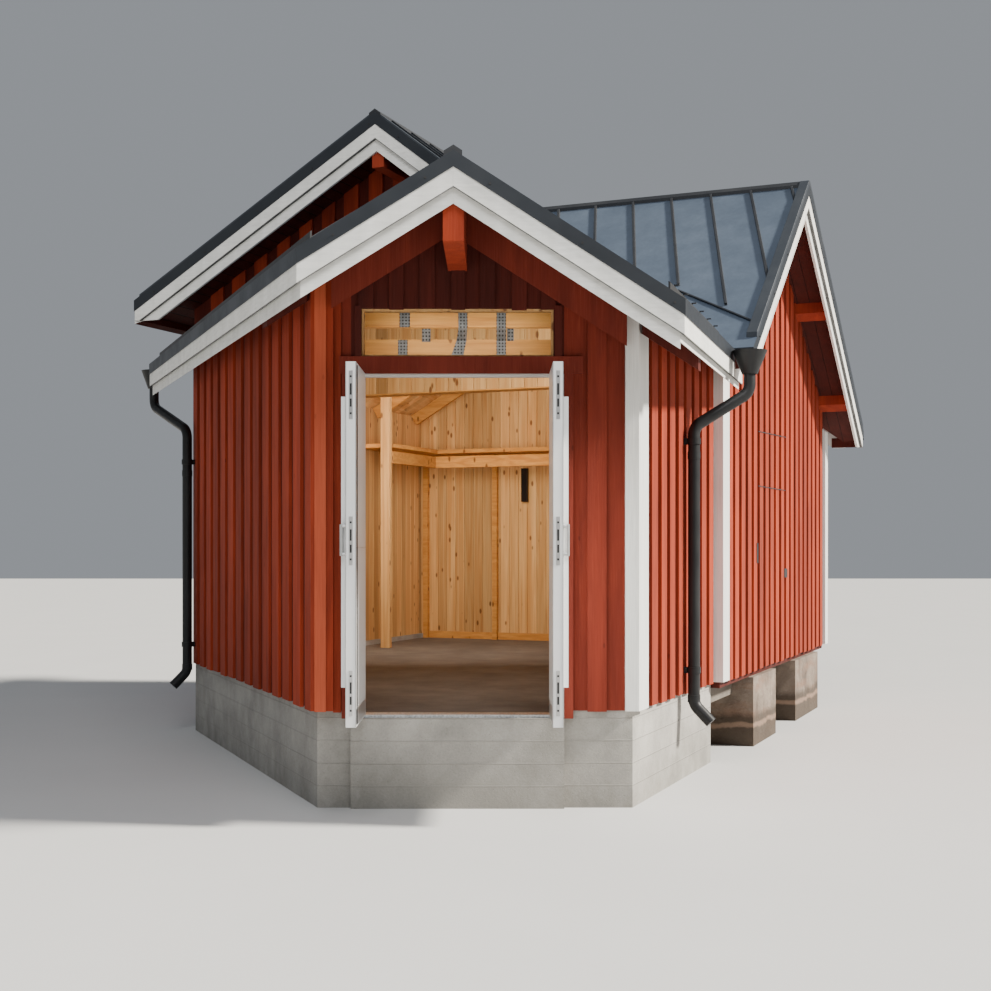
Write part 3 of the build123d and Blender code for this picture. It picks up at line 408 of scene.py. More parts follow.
# Materials of the modelled nodes
finishes = {
    # Red in painted shade on the front walls under the roof
    red_in_shade: ("front_wall_left", "front_wall_right"),
    # Red in painted shade on the wall faces between the lids
    red_recess_shade: ("left_wall", "right_wall", "lake_wall", "block_left_wall", "back_wall",
               "upper_gable_wall"),
    red_boards: ("corner_boards_red", "ridge_beams"),
    # Red in painted deep shade under the roofs, and on the sill plates as a shadow gap
    red_in_deep_shade: ("rafter_tails", "front_wall_over_door", "sill_plates"),
    # Red in painted half shade
    red_half_shade: ("door_trim_boards", "verge_rafters"),
    # Undersides in the very dark red of painted shade
    soffit_bay: ("roof_deck_bay_left", "roof_deck_bay_right"),
    soffit_cross: ("roof_deck_cross_left", "roof_deck_cross_right"),
    soffit_lake: ("roof_deck_lake_near", "roof_deck_lake_far"),
    roof_metal: ("roof_sheet_bay_left", "roof_sheet_bay_right", "roof_sheet_cross_left",
                 "roof_sheet_cross_right", "roof_sheet_lake_near", "roof_sheet_lake_far"),
    seam_metal: ("ridge_caps",),
    dark_metal: ("eave_gutters",),
    pipe_metal: ("left_downpipe", "right_downpipe"),
    white_flat: ("bargeboards_front", "bargeboards_upper_gable", "bargeboards_lake_gable",
                 "bargeboards_back", "eave_fascias"),
    white_boards: ("corner_boards_white",),
    pine_upright: ("transom_frame",),
    pine_beams: ("inner_frame", "back_shelf"),
    concrete_plinth: ("plinth_front", "plinth_sides", "plinth_block_left", "door_sill_wall"),
    # Floor concrete darkened as painted shade
    shaded_concrete_floor: ("floor_slab",),
    granite: ("granite_piers",),
    door_paint: ("left_door", "right_door"),
    frame_paint: ("door_frame",),
    galvanised: ("door_threshold",),
    steel: ("frame_hinges",),
    pane: ("transom_glass",),
}
for material, names in finishes.items():
    for name in names:
        mesh = nodes[name].data
        if not mesh.materials:
            mesh.materials.append(material)
        for i in range(len(mesh.materials)):
            mesh.materials[i] = material


# Pieces
def put_object(name, data):
    obj = bpy.data.objects.new(name, data)
    bpy.context.scene.collection.objects.link(obj)
    return obj


class Shape:
    """Solids gathered into one piece, each with its own tone."""

    def __init__(self):
        self.verts = []
        self.faces = []
        self.tones = []

    def prism(self, bottom, top, tone=0.0):
        """A solid between two outlines with the same number of corners."""
        n = len(bottom)
        k = len(self.verts)
        self.verts += [tuple(p) for p in bottom] + [tuple(p) for p in top]
        self.tones += [tone] * (2 * n)
        self.faces.append([k + i for i in reversed(range(n))])
        self.faces.append([k + n + i for i in range(n)])
        for i in range(n):
            j = (i + 1) % n
            self.faces.append([k + i, k + j, k + n + j, k + n + i])

    def slab(self, origin, a, b, c, tone=0.0):
        """A block with one corner at origin and three edge vectors."""
        low = [origin, origin + a, origin + a + b, origin + b]
        self.prism(low, [p + c for p in low], tone)

    def box(self, x, y, z, dx, dy, dz):
        """A block along the axes of the frame."""
        self.slab(Vector((x, y, z)), Vector((dx, 0, 0)), Vector((0, dy, 0)), Vector((0, 0, dz)))

    def rod(self, start, end, radius, sides):
        """A round bar between two points."""
        axis = (end - start).normalized()
        x = axis.orthogonal().normalized()
        y = axis.cross(x)
        ring = [x * radius * math.cos(2 * math.pi * i / sides)
                + y * radius * math.sin(2 * math.pi * i / sides) for i in range(sides)]
        self.prism([start + r for r in ring], [end + r for r in ring])

    def piece(self, name, material, body="house", bevel=0.0):
        """Makes the object, on its body and in its slot."""
        mesh = bpy.data.meshes.new(name)
        mesh.from_pydata(self.verts, [], self.faces)
        tone = mesh.attributes.new("tone", "FLOAT", "POINT")
        tone.data.foreach_set("value", self.tones)
        bm = bmesh.new()
        bm.from_mesh(mesh)
        bmesh.ops.recalc_face_normals(bm, faces=bm.faces)
        if bevel:
            bmesh.ops.bevel(bm, geom=bm.edges[:], offset=bevel, segments=1,
                            affect="EDGES", clamp_overlap=True)
        bm.to_mesh(mesh)
        bm.free()
        mesh.materials.append(material)
        obj = put_object(name, mesh)
        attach(obj, body)


class Side:
    """One flat side of a node, as triangles in the side's own two directions."""

    def __init__(self, node, out, along, rise=up, reach=None):
        mesh = nodes[node].data
        mesh.calc_loop_triangles()
        self.out = out
        self.along = along
        self.rise = rise
        if reach is None:
            reach = max(v.co.dot(out) for v in mesh.vertices)
        self.offset = reach
        self.tris = []
        for tri in mesh.loop_triangles:
            if tri.normal.dot(out) < 0.995:
                continue
            points = [mesh.vertices[i].co for i in tri.vertices]
            if abs(points[0].dot(out) - reach) > 0.002:
                continue
            self.tris.append([(p.dot(along), p.dot(rise)) for p in points])
        self.low = min(p[0] for t in self.tris for p in t)
        self.high = max(p[0] for t in self.tris for p in t)

    def spans(self, s):
        """The stretches of the side met by an upright line."""
        found = []
        for tri in self.tris:
            hits = []
            for i in range(3):
                a, b = tri[i], tri[(i + 1) % 3]
                if (a[0] - s) * (b[0] - s) <= 0 and a[0] != b[0]:
                    hits.append(a[1] + (b[1] - a[1]) * (s - a[0]) / (b[0] - a[0]))
            if len(hits) > 1 and max(hits) - min(hits) > 1e-5:
                found.append([min(hits), max(hits)])
        merged = []
        for low, high in sorted(found):
            if merged and low <= merged[-1][1] + 0.002:
                merged[-1][1] = max(merged[-1][1], high)
            else:
                merged.append([low, high])
        return merged

    def place(self, s, z, proud=0.0):
        """The point at s along and z up the side, a little in front of it."""
        return self.along * s + self.rise * z + self.out * (self.offset + proud)

    def strip(self, shape, s0, s1, proud, thick, tone, drop, trim, over=None, under=None):
        """A board on the side between two lines, following the side's ends."""
        for a in self.spans(s0 + 1e-4):
            for b in self.spans(s1 - 1e-4):
                low = max(a[0], b[0]) - drop
                if min(a[1], b[1]) - low < 0.05:
                    continue
                top_a, top_b = a[1] - trim, b[1] - trim
                if abs(a[1] - b[1]) > 1.3 * (s1 - s0):
                    top_a = top_b = min(top_a, top_b)
                low_a = low_b = low
                if over:
                    low_a = max(low, over(*self.place(s0, 0)[:2]))
                    low_b = max(low, over(*self.place(s1, 0)[:2]))
                if under:
                    top_a = min(top_a, under(*self.place(s0, 0)[:2]))
                    top_b = min(top_b, under(*self.place(s1, 0)[:2]))
                if min(top_a - low_a, top_b - low_b) < 0.02:
                    continue
                bottom = [self.place(s0, low_a, proud), self.place(s1, low_b, proud),
                          self.place(s1, top_b, proud), self.place(s0, top_a, proud)]
                shape.prism(bottom, [p + self.out * thick for p in bottom], tone)


def any_tone():
    """The tone of one more board."""
    return random.uniform(-1, 1)


# The bay's roof: its ridge at the front edge, its falls left and right, its climb to the back
bay_ridge = 4.120
bay_falls = (0.619, 0.642)
bay_climbs = (0.25, 0.20)
bay_edge = -0.95
deck_under = -0.172
# The block's roofs: each ridge's place and height, and the falls to its two sides
cross_ridge = (-2.83, 5.405)
cross_falls = (0.575, 0.78)
lake_ridge = (1.807, 5.042)
lake_falls = (0.768, 0.597)


def bay_under(x, y, lift=deck_under):
    """The height of the plane under the bay's roof, or of the roof moved up by lift."""
    rise = bay_falls[0] * x if x < 0 else -bay_falls[1] * x
    climb = bay_climbs[0] if x < 0 else bay_climbs[1]
    return bay_ridge + rise + climb * (y - bay_edge) + lift


def bay_top(x, y):
    """A plane just over the bay's roof."""
    return bay_under(x, y, 0.002)


def gable_height(s, ridge, falls):
    """The height of one of the block's roofs at a distance s across it."""
    slope = falls[0] if s < ridge[0] else -falls[1]
    return ridge[1] + slope * (s - ridge[0])


def lids(name, node, out, along, pitch=0.235, lid=0.138, thick=0.024, start=0.0, end=0.0,
         at=None, over=None, paint=red_boards):
    """The raised boards over the joints of an upright board wall."""
    side = Side(node, out, along)
    shape = Shape()
    low = side.low + start
    high = side.high - end
    count = max(1, round((high - low) / pitch))
    step = (high - low) / count
    for s in at or [low + (i + 0.5) * step for i in range(count)]:
        middle = s + random.uniform(-0.006, 0.006)
        half = (lid + random.uniform(-0.008, 0.008)) / 2
        s0 = max(middle - half, side.low + 0.002)
        s1 = min(middle + half, side.high - 0.002)
        side.strip(shape, s0, s1, -0.001, thick + random.uniform(-0.002, 0.002), any_tone(),
                   random.uniform(0.0, 0.014), 0.001, over)
    shape.piece(name, paint, bevel=0.0012)


# The lids over the door are in the red of painted deep shade
lids("lids_over_door", "front_wall_over_door", front_out, right, 0.19, 0.1, paint=red_in_deep_shade)
lids("lids_front_left", "front_wall_left", front_out, right, lid=0.05, at=[-0.797])
# The lid right of the door is in the red of painted shade
lids("lids_front_right", "front_wall_right", front_out, right, lid=0.13, at=[0.93],
     paint=red_in_shade)
lids("lids_left_wall", "left_wall", left_out, left_along, 0.3, 0.19, start=0.10)
lids("lids_right_wall", "right_wall", wide, deep, start=0.14)
lids("lids_lake_wall", "lake_wall", wide, deep, start=0.12, end=0.12)
lids("lids_block_left", "block_left_wall", -wide, deep, end=0.12)
lids("lids_back_wall", "back_wall", deep, wide, start=0.12, end=0.12)
lids("lids_upper_gable", "upper_gable_wall", -deep, wide, over=bay_top)
# The corner lid is in the red of painted sunlight
lids("lids_corner", "corner_boards_red", front_out, right, lid=0.070, thick=0.011, at=[-0.907],
     paint=red_painted_sunlight)


# Pine boards stand 3 mm apart
half_gap = 0.0015
lining_board = 0.118
lining_thick = 0.012


def lining(name, node, out, along, under=None):
    """Upright pine boards on the inner face of a wall."""
    side = Side(node, out, along)
    shape = Shape()
    count = round((side.high - side.low) / lining_board)
    step = (side.high - side.low) / count
    for i in range(count):
        side.strip(shape, side.low + i * step + half_gap, side.low + (i + 1) * step - half_gap,
                   -0.001, lining_thick, any_tone(), 0.0, 0.002, None, under)
    shape.piece(name, pine_upright, bevel=0.0018)


lining("lining_left", "left_wall", -left_out, left_along)
lining("lining_right", "right_wall", -wide, deep)
lining("lining_lake", "lake_wall", -wide, deep)
lining("lining_block_left", "block_left_wall", wide, deep)
lining("lining_back", "back_wall", -deep, wide)
lining("lining_upper", "upper_gable_wall", deep, wide)
lining("lining_over_bay", "upper_gable_wall", -deep, wide, under=bay_under)


# Inside: the floor, the walls' lined faces and the ceilings' boards
floor_top = 0.60
inner_face = 0.165
left_inside = inner_face - block_width
ceiling_pitch = 0.12
ceiling_board = ceiling_pitch - 2 * half_gap
ceiling_thick = 0.014


def along_block(p, q, z=0.0):
    """A point of the block: p along its gable from the corner, q into it, z up."""
    return block_corner + wide * p + deep * q + up * z


def bay_ceiling():
    """Boards under the bay's roof, between its walls."""
    shape = Shape()
    y0, y1 = 0.155, 1.90
    left_in = front_left - left_out * inner_face
    right_in = front_right - wide * inner_face
    near_l = left_in.x + left_along.x * (y0 - left_in.y) / left_along.y
    edge_l = left_in.x + left_along.x * (y1 - left_in.y) / left_along.y
    near_r = right_in.x + deep.x * (y0 - right_in.y) / deep.y
    edge_r = right_in.x + deep.x * (y1 - right_in.y) / deep.y

    def start(x):
        if x < near_l:
            return y0 + (near_l - x) / (near_l - edge_l) * (y1 - y0)
        if x > near_r:
            return y0 + (x - near_r) / (edge_r - near_r) * (y1 - y0)
        return y0

    for i in range(-18, 18):
        a = max(i * ceiling_pitch + half_gap, edge_l)
        b = min((i + 1) * ceiling_pitch - half_gap, edge_r)
        if b - a < 0.02:
            continue
        low = [Vector((x, y, bay_under(x, y, deck_under - ceiling_thick)))
               for x, y in ((a, start(a)), (b, start(b)), (b, y1), (a, y1))]
        shape.prism(low, [p + up * ceiling_thick for p in low], any_tone())
    shape.piece("ceiling_bay", pine_ceiling, bevel=0.001)


def block_ceiling():
    """Boards and rafters under the left slope of the block's roof, boards under the right."""
    count, first, eave_height = 36, 0.20, 3.33
    board = deep * ceiling_board
    rise = Vector((wide.x, wide.y, cross_falls[0]))
    down = deep.cross(rise).normalized()
    if down.z > 0:
        down = -down
    foot = along_block(left_inside, first, eave_height)
    boards = Shape()
    for i in range(count):
        a = foot + deep * (i * ceiling_pitch + half_gap)
        boards.slab(a, board, rise * 2.50, down * ceiling_thick, any_tone())
    boards.piece("ceiling_block", pine_ceiling, bevel=0.0015)
    rafters = Shape()
    for q in (0.75, 2.0, 3.25, 4.25):
        a = along_block(left_inside, q, eave_height) + down * 0.015
        rafters.slab(a, deep * 0.055, rise * 2.45, down * 0.13, any_tone())
    rafters.piece("rafters_block", pine_beams, bevel=0.003)
    fall = Vector((wide.x, wide.y, -cross_falls[1]))
    boards = Shape()
    for i in range(count):
        a = along_block(-2.38, first + i * ceiling_pitch + half_gap, 4.77)
        boards.slab(a, board, fall * 2.2, up * ceiling_thick, any_tone())
    boards.piece("ceiling_block_right", pine_ceiling, bevel=0.001)


def straps():
    """Perforated steel straps on the beams behind the transom window."""
    plates = Shape()
    for ya, yb, corners in (
            (0.4375, 0.4375, ((399.5, 311), (410, 311), (410, 327.3), (399.5, 327.3))),
            (0.5975, 0.5975, ((398, 340), (407.6, 340), (407.6, 357), (398, 357))),
            (0.503, 0.597, ((422, 326), (430.6, 326), (430.6, 342), (422, 342))),
            (0.4375, 0.4375, ((458, 310.5), (467.5, 310.5), (467.5, 328), (458.5, 328))),
            (0.4375, 0.5975, ((458.5, 327.5), (467.5, 327.5), (466.5, 341), (456.5, 341))),
            (0.5975, 0.5975, ((456.5, 340.5), (466.5, 340.5), (463, 357.5), (450.5, 357.5))),
            (0.4375, 0.4375, ((496.4, 310.5), (506, 310.5), (506, 328), (496.4, 328))),
            (0.4375, 0.5975, ((496.4, 327.5), (506, 327.5), (506, 341), (496.4, 341))),
            (0.5975, 0.5975, ((496.4, 340.5), (506, 340.5), (506, 357.5), (496.4, 357.5))),
            (0.503, 0.597, ((507, 325), (513.8, 325), (513.8, 341), (507, 341)))):
        flat = [seen_on(px, py, Vector((0, y, 0)), front_out)
                for (px, py), y in zip(corners, (ya, ya, yb, yb))]
        plates.prism(flat, [p + Vector((0, 0.0025, 0)) for p in flat])
    plates.piece("straps_transom", perforated)


def pine_blocks(name, material, bevel, blocks):
    """A piece made of blocks that lie along the block's walls."""
    shape = Shape()
    for p, q, z, width, depth, height in blocks:
        shape.slab(along_block(p, q, z), wide * width, deep * depth, up * height, any_tone())
    shape.piece(name, material, bevel=bevel)


def back_fittings():
    """Rails under the shelf, its legs, skirtings and a dark bracket on the back wall."""
    pine_blocks("shelf_rails", pine_beams, 0.003, (
        (-4.44, 4.02, 2.66, 4.28, 0.045, 0.135),
        (-4.485, 2.90, 2.66, 0.045, 1.16, 0.135),
        (left_inside, 2.86, 2.8352, 0.445, 1.21, 0.045)))
    pine_blocks("shelf_legs", pine_upright, 0.003, (
        (-4.54, 2.80, floor_top, 0.11, 0.06, 2.9),
        (-4.89, 2.30, floor_top, 0.05, 0.07, 2.72)))
    # The last one covers the lower edge of the wall over the bay
    pine_blocks("skirtings", pine_beams, 0.001, (
        (-4.83, 4.545, floor_top, 4.66, 0.012, 0.085),
        (-0.176, 0.02, floor_top, 0.012, 4.52, 0.085),
        (-4.88, -0.013, 3.08, 4.71, 0.176, 0.0105)))
    bracket = Shape()
    foot = seen_on(521, 500, along_block(0, 4.49), deep)
    foot.z = 2.26
    bracket.slab(foot, wide * 0.075, deep * 0.05, up * 0.40)
    bracket.piece("dark_bracket", dark_metal, bevel=0.002)


bay_ceiling()
block_ceiling()
straps()
back_fittings()


def hidden_faces():
    """Dark red sheets of painted shade behind the verge board at the back and on the back of the
    left eave's board.
    """
    verge = Shape()
    verge.slab(along_block(0.03, 5.114, 2.85), wide * 0.28, deep * 0.004, up * 0.11)
    verge.piece("verge_shade_back", red_in_deep_shade)
    fascia = nodes["eave_fascias"].data
    fascia.calc_loop_triangles()
    eave = Shape()
    for tri in fascia.loop_triangles:
        points = [fascia.vertices[i].co.copy() for i in tri.vertices]
        far = max((p - block_corner).dot(wide) for p in points)
        if tri.normal.dot(wide) > 0.4 and abs(tri.normal.dot(deep)) < 0.1 and far < -5.2:
            eave.prism([p - tri.normal * 0.001 for p in points],
                       [p + tri.normal * 0.002 for p in points])
    eave.piece("eave_shade_left", red_in_deep_shade)


def transom_casings():
    """Boards beside the transom window, in the red of painted deep shade."""
    shape = Shape()
    origin = Vector((0, 0, 0))
    for px0, px1 in ((355.0, 361.5), (554.5, 562.0)):
        a = seen_on(px0, 357.5, origin, front_out)
        b = seen_on(px1, 306.0, origin, front_out)
        shape.slab(Vector((a.x, 0.001, a.z)), right * (b.x - a.x), Vector((0, -0.027, 0)),
                   up * (b.z - a.z), any_tone())
    shape.piece("transom_casings", red_in_deep_shade, bevel=0.001)


hidden_faces()
transom_casings()

# Roofs: standing seams, nails on the edges, shadow lines, caps and gutter hooks
seam_height = 0.026


def roof_side(node):
    """The top of a roof sheet, measured across and up its own slope."""
    mesh = nodes[node].data
    mesh.calc_loop_triangles()
    best = max((t for t in mesh.loop_triangles if t.normal.z > 0.3), key=lambda t: t.area)
    normal = best.normal.copy()
    across = up.cross(normal).normalized()
    reach = mesh.vertices[best.vertices[0]].co.dot(normal)
    return Side(node, normal, across, normal.cross(across).normalized(), reach)


def seams(name, node):
    """Near-black covers over the standing seams of a sheet, wherever its ribs run: their dark is
    painted shade along the ribs.
    """
    side = roof_side(node)
    mesh = nodes[node].data
    seat = side.offset + seam_height * side.out.z
    groups = []
    for tri in mesh.loop_triangles:
        points = [mesh.vertices[i].co for i in tri.vertices]
        if tri.normal.dot(side.out) < 0.99 or abs(points[0].dot(side.out) - seat) > 0.004:
            continue
        flat = [(round(p.x, 4), round(p.y, 4), round(p.z, 4)) for p in points]
        joined = [g for g in groups if any(p in g for p in flat)]
        whole = set(flat).union(*joined)
        groups = [g for g in groups if g not in joined] + [whole]
    shape = Shape()
    for group in groups:
        tops = [Vector(p) for p in group]
        far = max(((a, b) for a in tops for b in tops), key=lambda ab: (ab[0] - ab[1]).length)
        ends = [[p for p in tops if (p - end).length < 0.05] for end in far]
        a, b = [sum(e, Vector()) / len(e) for e in ends]
        along = (a - b).normalized()
        across = side.out.cross(along).normalized()
        drop = side.out * (a.dot(side.out) - side.offset + 0.001)
        foot = b - along * 0.012 - drop
        length = along * ((a - b).length + 0.024)
        tone = any_tone()
        edge = foot - across * 0.0095
        shape.slab(edge, across * 0.019, length, drop + side.out * 0.0015, tone)
        lip = edge + side.out * (drop.length - 0.007)
        shape.slab(lip, across * 0.021, length, side.out * 0.0095, tone)
        shape.slab(foot - across * 0.013, across * 0.026, length, side.out * 0.0025, tone)
    shape.piece(name, seam_metal, bevel=0.001)


def lake_crease():
    """The folded line where the near lake slope turns down to its eave, as a near-black strip of
    painted shade.
    """
    lake = roof_side("roof_sheet_lake_near")
    plane = lake.out * lake.offset
    start = seen_on(678, 291, plane, lake.out)
    run = seen_on(755.5, 323, plane, lake.out) - start
    across = lake.out.cross(run).normalized()
    shape = Shape()
    shape.slab(start - across * 0.008 - lake.out * 0.001, across * 0.016, run, lake.out * 0.016)
    shape.piece("crease_lake_near", seam_metal, bevel=0.002)


def edge_nails(name, node, out, along):
    """Small nail heads along the folded edge of a roof sheet."""
    side = Side(node, out, along)
    shape = Shape()
    s = side.low + 0.22
    while s < side.high - 0.04:
        for low, high in side.spans(s):
            z = high - 0.062 if high - low > 0.08 else (low + high) / 2
            p = side.place(s, z, -0.001)
            shape.rod(p, p + out * 0.005, 0.0075, 10)
        s += 0.55
    shape.piece(name, dark_metal)


def overlap_shadow_lines(name, node):
    """A painted shadow line: a thin dark sheet where the upper of two boards overlaps the lower
    one.
    """
    mesh = nodes[node].data
    mesh.calc_loop_triangles()
    groups = {}
    for tri in mesh.loop_triangles:
        if tri.normal.z < -0.4 and tri.area > 0.004:
            key = tuple(round(c, 1) for c in tri.normal)
            points = [mesh.vertices[i].co.copy() for i in tri.vertices]
            groups.setdefault(key, []).append((tri.normal.copy(), points))
    shape = Shape()
    for tris in groups.values():
        lowest = max(points[0].dot(normal) for normal, points in tris)
        for normal, points in tris:
            if points[0].dot(normal) < lowest - 0.03:
                shape.prism([p - normal * 0.001 for p in points],
                            [p + normal * 0.005 for p in points])
    shape.piece(name, white_joint_shadow)


def verge_caps():
    """Raised caps along the verges of the block's roofs."""
    shape = Shape()

    def cap(p0, p1, q0, q1, z0, z1, height):
        low = [along_block(p0, q0, z0[0]), along_block(p1, q0, z0[1]),
               along_block(p1, q1, z1[1]), along_block(p0, q1, z1[0])]
        low = [p - up * 0.004 for p in low]
        shape.prism(low, [p + up * height for p in low])

    for q0, q1 in ((-0.40, 1.79), (1.824, 5.12)):
        za, zb = (gable_height(q, lake_ridge, lake_falls) for q in (q0, q1))
        cap(0.296, 0.380, q0, q1, (za, za), (zb, zb), 0.046)
    for q0, q1 in ((-0.577, -0.516), (5.116, 5.177)):
        for p0, p1 in ((-5.249, -2.85), (-2.81, -0.75 if q0 < 0 else 0.12)):
            za, zb = (gable_height(p, cross_ridge, cross_falls) for p in (p0, p1))
            cap(p0, p1, q0, q1, (za, zb), (za, zb), 0.022)
    shape.piece("verge_caps", edge_metal, bevel=0.002)


def hatch_lines():
    """Sawn lines of the hatch in the lake wall, and its latch."""
    face = block_corner + wide * 0.026
    shape = Shape()
    for xa, ya, xb, yb in ((758.6, 431.8, 785.9, 437.7), (758.6, 486.4, 785.4, 490.9)):
        a = seen_on(xa, ya, face, wide)
        b = seen_on(xb, yb, face, wide)
        shape.slab(a - wide * 0.004, b - a, up * 0.008, wide * 0.0045)
    for xa, ya, xb, yb in ((784.3, 568.5, 787.2, 577.5), (757.0, 543.0, 758.2, 563.0)):
        a = seen_on(xa, yb, face, wide)
        b = seen_on(xb, yb, face, wide)
        c = seen_on(xa, ya, face, wide)
        shape.slab(a - wide * 0.004, b - a, c - a, wide * 0.006)
    shape.piece("hatch_lines", dark_metal)


def gutter_hooks():
    """Hooks that hold the standing gutter of the bay's right slope."""
    shape = Shape()
    bay = roof_side("roof_sheet_bay_right")
    kink = Vector((1.340, -0.950, 0))
    eave_turn = math.radians(16.5)
    along = Vector((math.sin(eave_turn), math.cos(eave_turn), 0))
    out = Vector((along.y, -along.x, 0))
    for i in range(6):
        foot = kink + along * (0.22 + 0.36 * i) - out * 0.052
        foot.z = (bay.offset - foot.x * bay.out.x - foot.y * bay.out.y) / bay.out.z
        back = -out * 0.07
        back.z = -(back.x * bay.out.x + back.y * bay.out.y) / bay.out.z
        edge = foot - along * 0.012
        shape.slab(edge, along * 0.024, back, up * 0.006)
        shape.slab(edge, along * 0.024, out * 0.004, up * 0.058)
        shape.slab(edge + up * 0.052, along * 0.024, out * 0.03, up * 0.006)
    shape.piece("gutter_hooks", dark_metal)


def pipe_sleeves():
    """Sleeves where the rainwater pipes are joined."""
    shape = Shape()
    for foot in (front_left + left_along * 4.09 + left_out * 0.092,
                 front_right + deep * 1.20 + wide * 0.092):
        for z in (0.585, 2.39):
            shape.rod(foot + up * z, foot + up * (z + 0.055), 0.0475, 28)
    shape.piece("pipe_sleeves", pipe_metal)


slopes = {"bay_left": (front_out, right), "bay_right": (front_out, right),
          "cross_left": (-deep, wide), "cross_right": (-deep, wide),
          "lake_near": (wide, deep), "lake_far": (wide, deep)}
for slope in slopes:
    seams("seams_" + slope, "roof_sheet_" + slope)
lake_crease()
for slope, verge in slopes.items():
    edge_nails("nails_" + slope, "roof_sheet_" + slope, *verge)
for part in ("bargeboards_front", "bargeboards_upper_gable", "bargeboards_lake_gable",
             "bargeboards_back", "eave_fascias"):
    overlap_shadow_lines("board_shadow_" + part, part)
verge_caps()
hatch_lines()
gutter_hooks()
pipe_sleeves()


# Door furniture, riding on the leaves as they stand open: X of their outer faces, Y of
# their free edges, Z of their ends
leaf_face = 0.670
leaf_thick = 0.062
leaf_edge_y = -0.706
leaf_sill, leaf_head = 0.629, 2.886
handle_low, handle_length = 1.690, 0.190


def leaf_fittings(side, body):
    """Lock plates and bolts, handle, edge strips, seal and kick strips of an open leaf."""
    inner = side * (leaf_face - leaf_thick)
    x0, x1 = sorted((inner, side * leaf_face))
    middle = (x0 + x1) / 2
    height = leaf_head - leaf_sill
    plates = Shape()
    bolts = Shape()
    for z0, z1 in ((2.53, 2.83), (1.63, 1.93), (0.70, 0.98)):
        plates.box(middle - 0.012, leaf_edge_y - 0.003, z0, 0.024, 0.004, z1 - z0)
        for share, tall in ((0.12, 0.012), (0.34, 0.05), (0.62, 0.07), (0.88, 0.012)):
            z = z0 + share * (z1 - z0)
            bolts.box(middle - 0.006, leaf_edge_y - 0.0045, z - tall / 2, 0.012, 0.003, tall)
    plates.piece("lock_plates_" + body, steel, body, 0.001)
    bolts.piece("lock_bolts_" + body, dark_metal, body)
    bars = Shape()
    handle_y = leaf_edge_y + 0.034 + 0.008
    face = side * leaf_face
    grip = Vector((face + side * 0.030, handle_y, handle_low - 0.003))
    bars.rod(grip, grip + up * (handle_length + 0.006), 0.0122, 20)
    for z in (handle_low + 0.008, handle_low + handle_length - 0.008):
        start = Vector((face - side * 0.001, handle_y, z))
        bars.rod(start, start + Vector((side * 0.031, 0, 0)), 0.0118, 16)
        bars.rod(start, start + Vector((side * 0.006, 0, 0)), 0.022, 20)
    bars.piece("handles_" + body, steel, body, 0.0008)
    edges = Shape()
    for x in (x0 - 0.0015, x1 - 0.0025):
        edges.box(x, leaf_edge_y - 0.002, leaf_sill + 0.004, 0.004, 0.014, height - 0.008)
    edges.piece("edge_strips_" + body, steel, body)
    seal = Shape()
    seal.box(inner - side * 0.004 if side < 0 else inner - 0.001, leaf_edge_y + 0.018,
             leaf_sill + 0.02, 0.005, 0.018, height - 0.04)
    seal.piece("seal_" + body, dark_metal, body)
    strips = Shape()
    face = inner if side < 0 else inner - 0.0022
    strips.box(face, leaf_edge_y + 0.03, leaf_sill + 0.01, 0.0022, 0.58, 0.10)
    strips.box(face, leaf_edge_y + 0.03, 1.735, 0.0022, 0.60, 0.006)
    strips.piece("inner_strips_" + body, steel, body)


leaf_fittings(-1, "left_leaf")
leaf_fittings(1, "right_leaf")


# Light, floor and camera
def shine_from(lamp, direction):
    """Turns a lamp so that its light comes from a direction."""
    lamp.rotation_euler = direction.to_track_quat("Z", "Y").to_euler()


def studio_floor():
    """A plain pale floor, wider than any view."""
    mesh = bpy.data.meshes.new("floor")
    size = 60
    mesh.from_pydata([(-size, -size, 0), (size, -size, 0), (size, size, 0), (-size, size, 0)],
                     [], [(0, 1, 2, 3)])
    floor = put_object("floor", mesh)
    m = Mat("studio_floor", 0.85)
    tint = m.noise(0.8, 4, 0.6)
    mesh.materials.append(m.finish(m.mix(tint, (0.50, 0.50, 0.495), (0.54, 0.54, 0.535))))


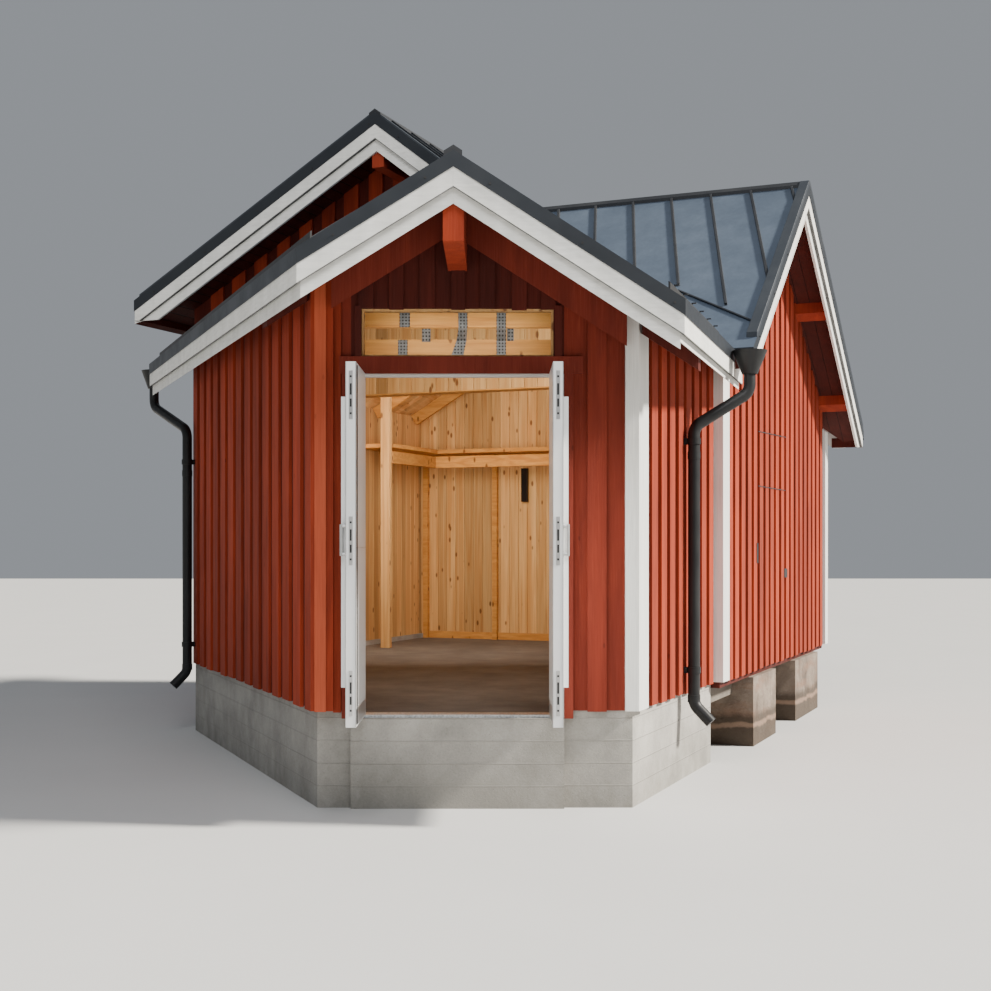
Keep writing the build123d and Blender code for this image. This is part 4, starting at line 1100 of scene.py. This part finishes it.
def daylight():
    """A pale sky, a sun on the right and a soft fill from high in front."""
    world = bpy.data.worlds.new("studio")
    bpy.context.scene.world = world
    world.use_nodes = True
    back = world.node_tree.nodes["Background"]
    back.inputs["Color"].default_value = (0.78, 0.83, 0.90, 1)
    back.inputs["Strength"].default_value = 0.37
    sun = bpy.data.lights.new("key", "SUN")
    sun.energy = 12.0
    sun.angle = math.radians(7.0)
    sun.color = (1.0, 0.94, 0.84)
    shine_from(put_object("key", sun), Vector((0.80, -0.08, 0.60)))
    soft = bpy.data.lights.new("fill", "AREA")
    soft.energy = 1000
    soft.size = 6
    fill = put_object("fill", soft)
    fill.location = (0.5, -8, 12)
    shine_from(fill, Vector(fill.location) - Vector((0.3, 0, 2)))


def glow_inside():
    """Warm light inside, hidden from the camera and from reflections."""
    for name, place, aim, energy, size, height in (
            ("glow_door", (0.1, 1.2, 2.85), (0.0, 6.0, 1.4), 38, 1.3, 1.3),
            ("glow_transom", (0.0, 0.22, 3.14), (0.0, 1.2, 3.26), 4.2, 1.1, 0.12),
            ("glow_back", (-0.4, 4.4, 2.9), (-0.4, 7.6, 2.1), 95, 1.6, 1.6)):
        glow = bpy.data.lights.new(name, "AREA")
        glow.energy = energy
        glow.shape = "RECTANGLE"
        glow.size = size
        glow.size_y = height
        glow.color = (1.0, 0.93, 0.84)
        lamp = put_object(name, glow)
        lamp.location = place
        shine_from(lamp, Vector(place) - Vector(aim))
        lamp.visible_camera = False
        lamp.visible_glossy = False


def photo_camera():
    """The photograph's level camera, with its centre shifted up or down by the lens."""
    camera = bpy.data.cameras.new("camera")
    camera.sensor_width = 36
    camera.lens = camera.sensor_width * cam_focal / frame_px
    camera.shift_x = (frame_px / 2 - cam_mid[0]) / frame_px
    camera.shift_y = (cam_mid[1] - frame_px / 2) / frame_px
    camera.clip_end = 300
    eye = put_object("camera", camera)
    eye.location = cam_at
    eye.rotation_euler = (math.radians(90), 0, 0)
    bpy.context.scene.camera = eye


studio_floor()
daylight()
glow_inside()
photo_camera()
